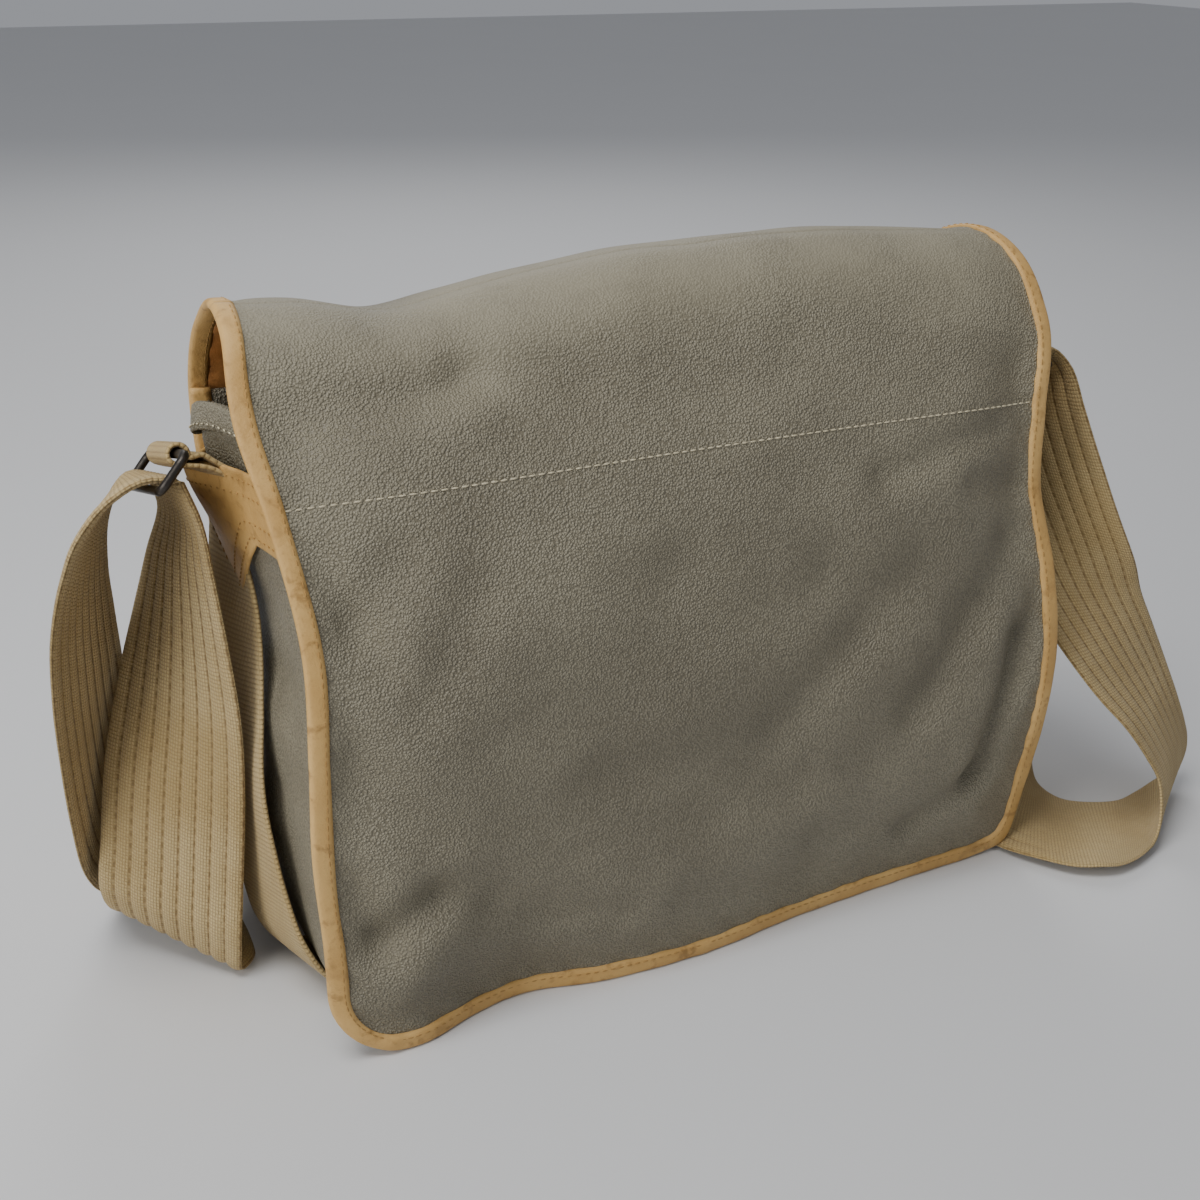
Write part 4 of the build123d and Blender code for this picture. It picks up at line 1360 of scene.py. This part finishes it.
@dataclass
class Strap:
    """Shoulder strap with its tail, loops, rings and slide, and the support webbing."""

    body: Body
    wardrobe: Wardrobe
    width: float = 76.0
    thickness: float = 1.3
    loop_y: float = 30.0         # middle of both rings
    loops: dict[str, tuple[float, float]] = field(
        default_factory=lambda: {"left": (-227.0, 266.0), "right": (212.0, 264.0)})
    loop_half: float = 22.0      # half of a loop's width
    loop_radius: float = 4.3     # of its turn about the ring's bar

    def ribbon(self, name: str, route: Sequence[Station]) -> bpy.types.Object:
        """Ribbed band: each rib is a low round, with a stitched groove between ribs.

        The ribs are pressed flat where the band lies on the ground beside the bag.
        """
        columns = STRAP_RIBS * 6 + 1
        middle = band_surface(route, 3.6, columns)
        t = np.linspace(0.0, STRAP_RIBS, columns)
        beside = smooth_step(middle[..., 0], *PRESSED_X)
        pressed = beside * (1 - smooth_step(middle[..., 2], *PRESSED_Z))
        relief = 1.15 * np.abs(np.sin(np.pi * t)) ** 0.7 * (1 - 0.85 * pressed) + 0.3 * pressed
        piece = sheet_piece(name, middle, self.thickness, relief)
        return self.wardrobe.dress(piece, Finish.STRAP)

    def support(self) -> bpy.types.Object:
        """Plain webbing under the base and up both sides, slack and twisted on the left."""
        middle = band_surface(SUPPORT_ROUTE, 4.0, 13)
        middle = self.body.form.slump(middle) * [1, 1, 0] + middle * [0, 0, 1]
        return self.wardrobe.dress(sheet_piece("support_band", middle, 2.4), Finish.BAND)

    def loop_foot(self, word: str, y: Array) -> Array:
        """Outward distance of a loop's foot, tucked between the side and its yoke."""
        side = SIDES[word]
        return side * self.body.side_point(side, y, np.full(y.shape, LOOP_LEVEL), 1.2)[..., 0]

    def loop(self, word: str) -> bpy.types.Object:
        """Short webbing loop from under the yoke, round the ring's bar and back down.

        Formula: in the plane across the bar, a drop-shaped line: up the outside, round
        a circle about the bar and down the inside. It is carried along the bar, and its
        lower ends are moved out or in to where the yoke is.
        """
        x, z = self.loops[word]
        outward = SIDES[word]
        turn = np.linspace(-0.15 * math.pi, 1.1 * math.pi, 25)
        circle = self.loop_radius * np.column_stack([outward * np.cos(turn), np.sin(turn)])
        middle_foot = float(self.loop_foot(word, np.array(self.loop_y)))
        foot = outward * middle_foot - x
        start = np.array([[foot, -24.0], [foot + outward * 0.4, -15.0], [foot * 0.7, -8.0]])
        end = np.array([[foot * 0.75, -1.5], [foot - outward * 1.6, -10.0],
                        [foot - outward * 2.2, -20.0]])
        line = np.concatenate([start, circle, end])
        line = even_line(np.column_stack([line, 0 * line[:, 0]]), 1.2)[:, :2]
        along = np.linspace(-self.loop_half, self.loop_half, 33)
        cos_tilt, sin_tilt = LOOP_TILT
        lean, up = np.array([0.0, cos_tilt, -sin_tilt]), np.array([0.0, sin_tilt, cos_tilt])
        points = np.array([x, self.loop_y, z]) + line[:, None, :1] * [1.0, 0.0, 0.0]
        points = points + line[:, None, 1:] * up + along[None, :, None] * lean
        shift = self.loop_foot(word, points[..., 1]) - middle_foot
        points[..., 0] += outward * shift * smooth_step(-line[:, 1], 2.0, 12.0)[:, None]
        return self.wardrobe.dress(sheet_piece(f"ring_loop_band_{word}", points, 2.2), Finish.BAND)

    def build(self) -> None:
        """Make all pieces; the strap and its tail go with the strap's body, the support band with
        the bag.
        """
        strap = self.ribbon("strap_ribbon", STRAP_ROUTE)
        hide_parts("shoulder_strap")
        tail = self.ribbon("strap_end", TAIL_ROUTE)
        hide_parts("strap_tail")
        for piece, route in ((strap, STRAP_ROUTE), (tail, TAIL_ROUTE)):
            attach(piece, "strap")
            length = length_along(band_surface(route, 3.6, 3)[:, 1])[-1] * MM
        support = self.support()
        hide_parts("support_webbing")
        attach(support, "bag")
        for word, side in SIDES.items():
            loop = self.loop(word)
            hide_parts(f"ring_loop_{word}")
            foot = float(self.loop_foot(word, np.array(self.loop_y))) * MM
            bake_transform(loop)
        log.info("made the strap")


# ---------------------------------------------------------------- setting
def axes_matrix(right: Array, up: Array, back: Array, place: Sequence[float]) -> Matrix:
    """World matrix of an object from its three axes and its place."""
    return Matrix(np.vstack([np.column_stack([right, up, back, place]), [0, 0, 0, 1]]).tolist())


# Name, place, the point it aims at, size in metres and power in watts.
LAMPS = (("key", (-0.7, -0.3, 1.9), (0.0, 0.0, 0.1), 0.9, 26.0),
         ("left_fill", (-1.9, -0.6, 0.8), (0.0, 0.0, 0.15), 1.2, 22.0),
         ("rear", (0.6, 1.8, 1.5), (0.0, 0.0, 0.2), 1.2, 12.0))


@dataclass
class Studio:
    """Floor, lights and camera."""

    focal: float = 48.0
    place: tuple[float, float, float] = (-0.3549, -0.6427, 0.4910)
    turn: float = 0.466          # towards +X from +Y
    dip: float = 0.417           # below level
    roll: float = 0.013

    def floor(self) -> None:
        """Wide, flat, pale floor."""
        mesh = bpy.data.meshes.new("floor")
        reach = 6.0
        signs = ((-1, -1), (1, -1), (1, 1), (-1, 1))
        corners = [(reach * x, reach * y, 0.0) for x, y in signs]
        mesh.from_pydata(corners, [], [(0, 1, 2, 3)])
        floor = bpy.data.objects.new("floor", mesh)
        bpy.context.scene.collection.objects.link(floor)
        mesh.materials.append(Plain("floor", shade(208, 208, 208), 0.7).build())

    def lamp(self, name: str, place: tuple[float, float, float],
             aim: tuple[float, float, float], size: float, power: float) -> None:
        """One soft square light."""
        data = bpy.data.lights.new(name, "AREA")
        data.shape, data.size, data.energy = "SQUARE", size, power
        lamp = bpy.data.objects.new(name, data)
        bpy.context.scene.collection.objects.link(lamp)
        way = np.array(place) - np.array(aim)
        back = way / np.linalg.norm(way)
        right = unit(np.cross([0.0, 0.01, 1.0], back))
        up = np.cross(back, right)
        lamp.matrix_world = axes_matrix(right, up, back, place)

    def camera(self) -> None:
        """Camera at the place and angle that the studio names."""
        st, ct = math.sin(self.turn), math.cos(self.turn)
        sd, cd = math.sin(self.dip), math.cos(self.dip)
        ahead = np.array([st * cd, ct * cd, -sd])
        right = np.array([ct, -st, 0.0])
        up = np.cross(right, ahead)
        cr, sr = math.cos(self.roll), math.sin(self.roll)
        right, up = cr * right + sr * up, cr * up - sr * right
        data = bpy.data.cameras.new("camera")
        data.lens, data.sensor_width = self.focal, 36.0
        camera = bpy.data.objects.new("camera", data)
        bpy.context.scene.collection.objects.link(camera)
        camera.matrix_world = axes_matrix(right, up, -ahead, self.place)
        bpy.context.scene.camera = camera

    def build(self) -> None:
        """Set the stage."""
        self.camera()
        self.floor()
        for lamp in LAMPS:
            self.lamp(*lamp)
        world = bpy.data.worlds.new("studio")
        world.use_nodes = True
        sky = world.node_tree.nodes["Background"].inputs
        sky["Color"].default_value = (0.9, 0.93, 1.0, 1.0)
        sky["Strength"].default_value = 0.35
        bpy.context.scene.world = world


METAL_NODES = ("ring_left", "ring_right", "strap_slide", "snap_sockets", "snap_studs")


def main() -> None:
    """Build the whole scene in order."""
    logging.basicConfig(level=logging.INFO)
    wardrobe = Wardrobe()
    Studio().build()
    form = BagForm()
    Skin(form, wardrobe).build()
    body = Body(form, wardrobe)
    body.build()
    Strap(body, wardrobe).build()
    for name in METAL_NODES:
        wardrobe.dress(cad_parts[name], Finish.METAL)
    wardrobe.dress(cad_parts["base_board"], Finish.BOARD)
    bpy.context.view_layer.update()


if __name__ == "__main__":
    main()
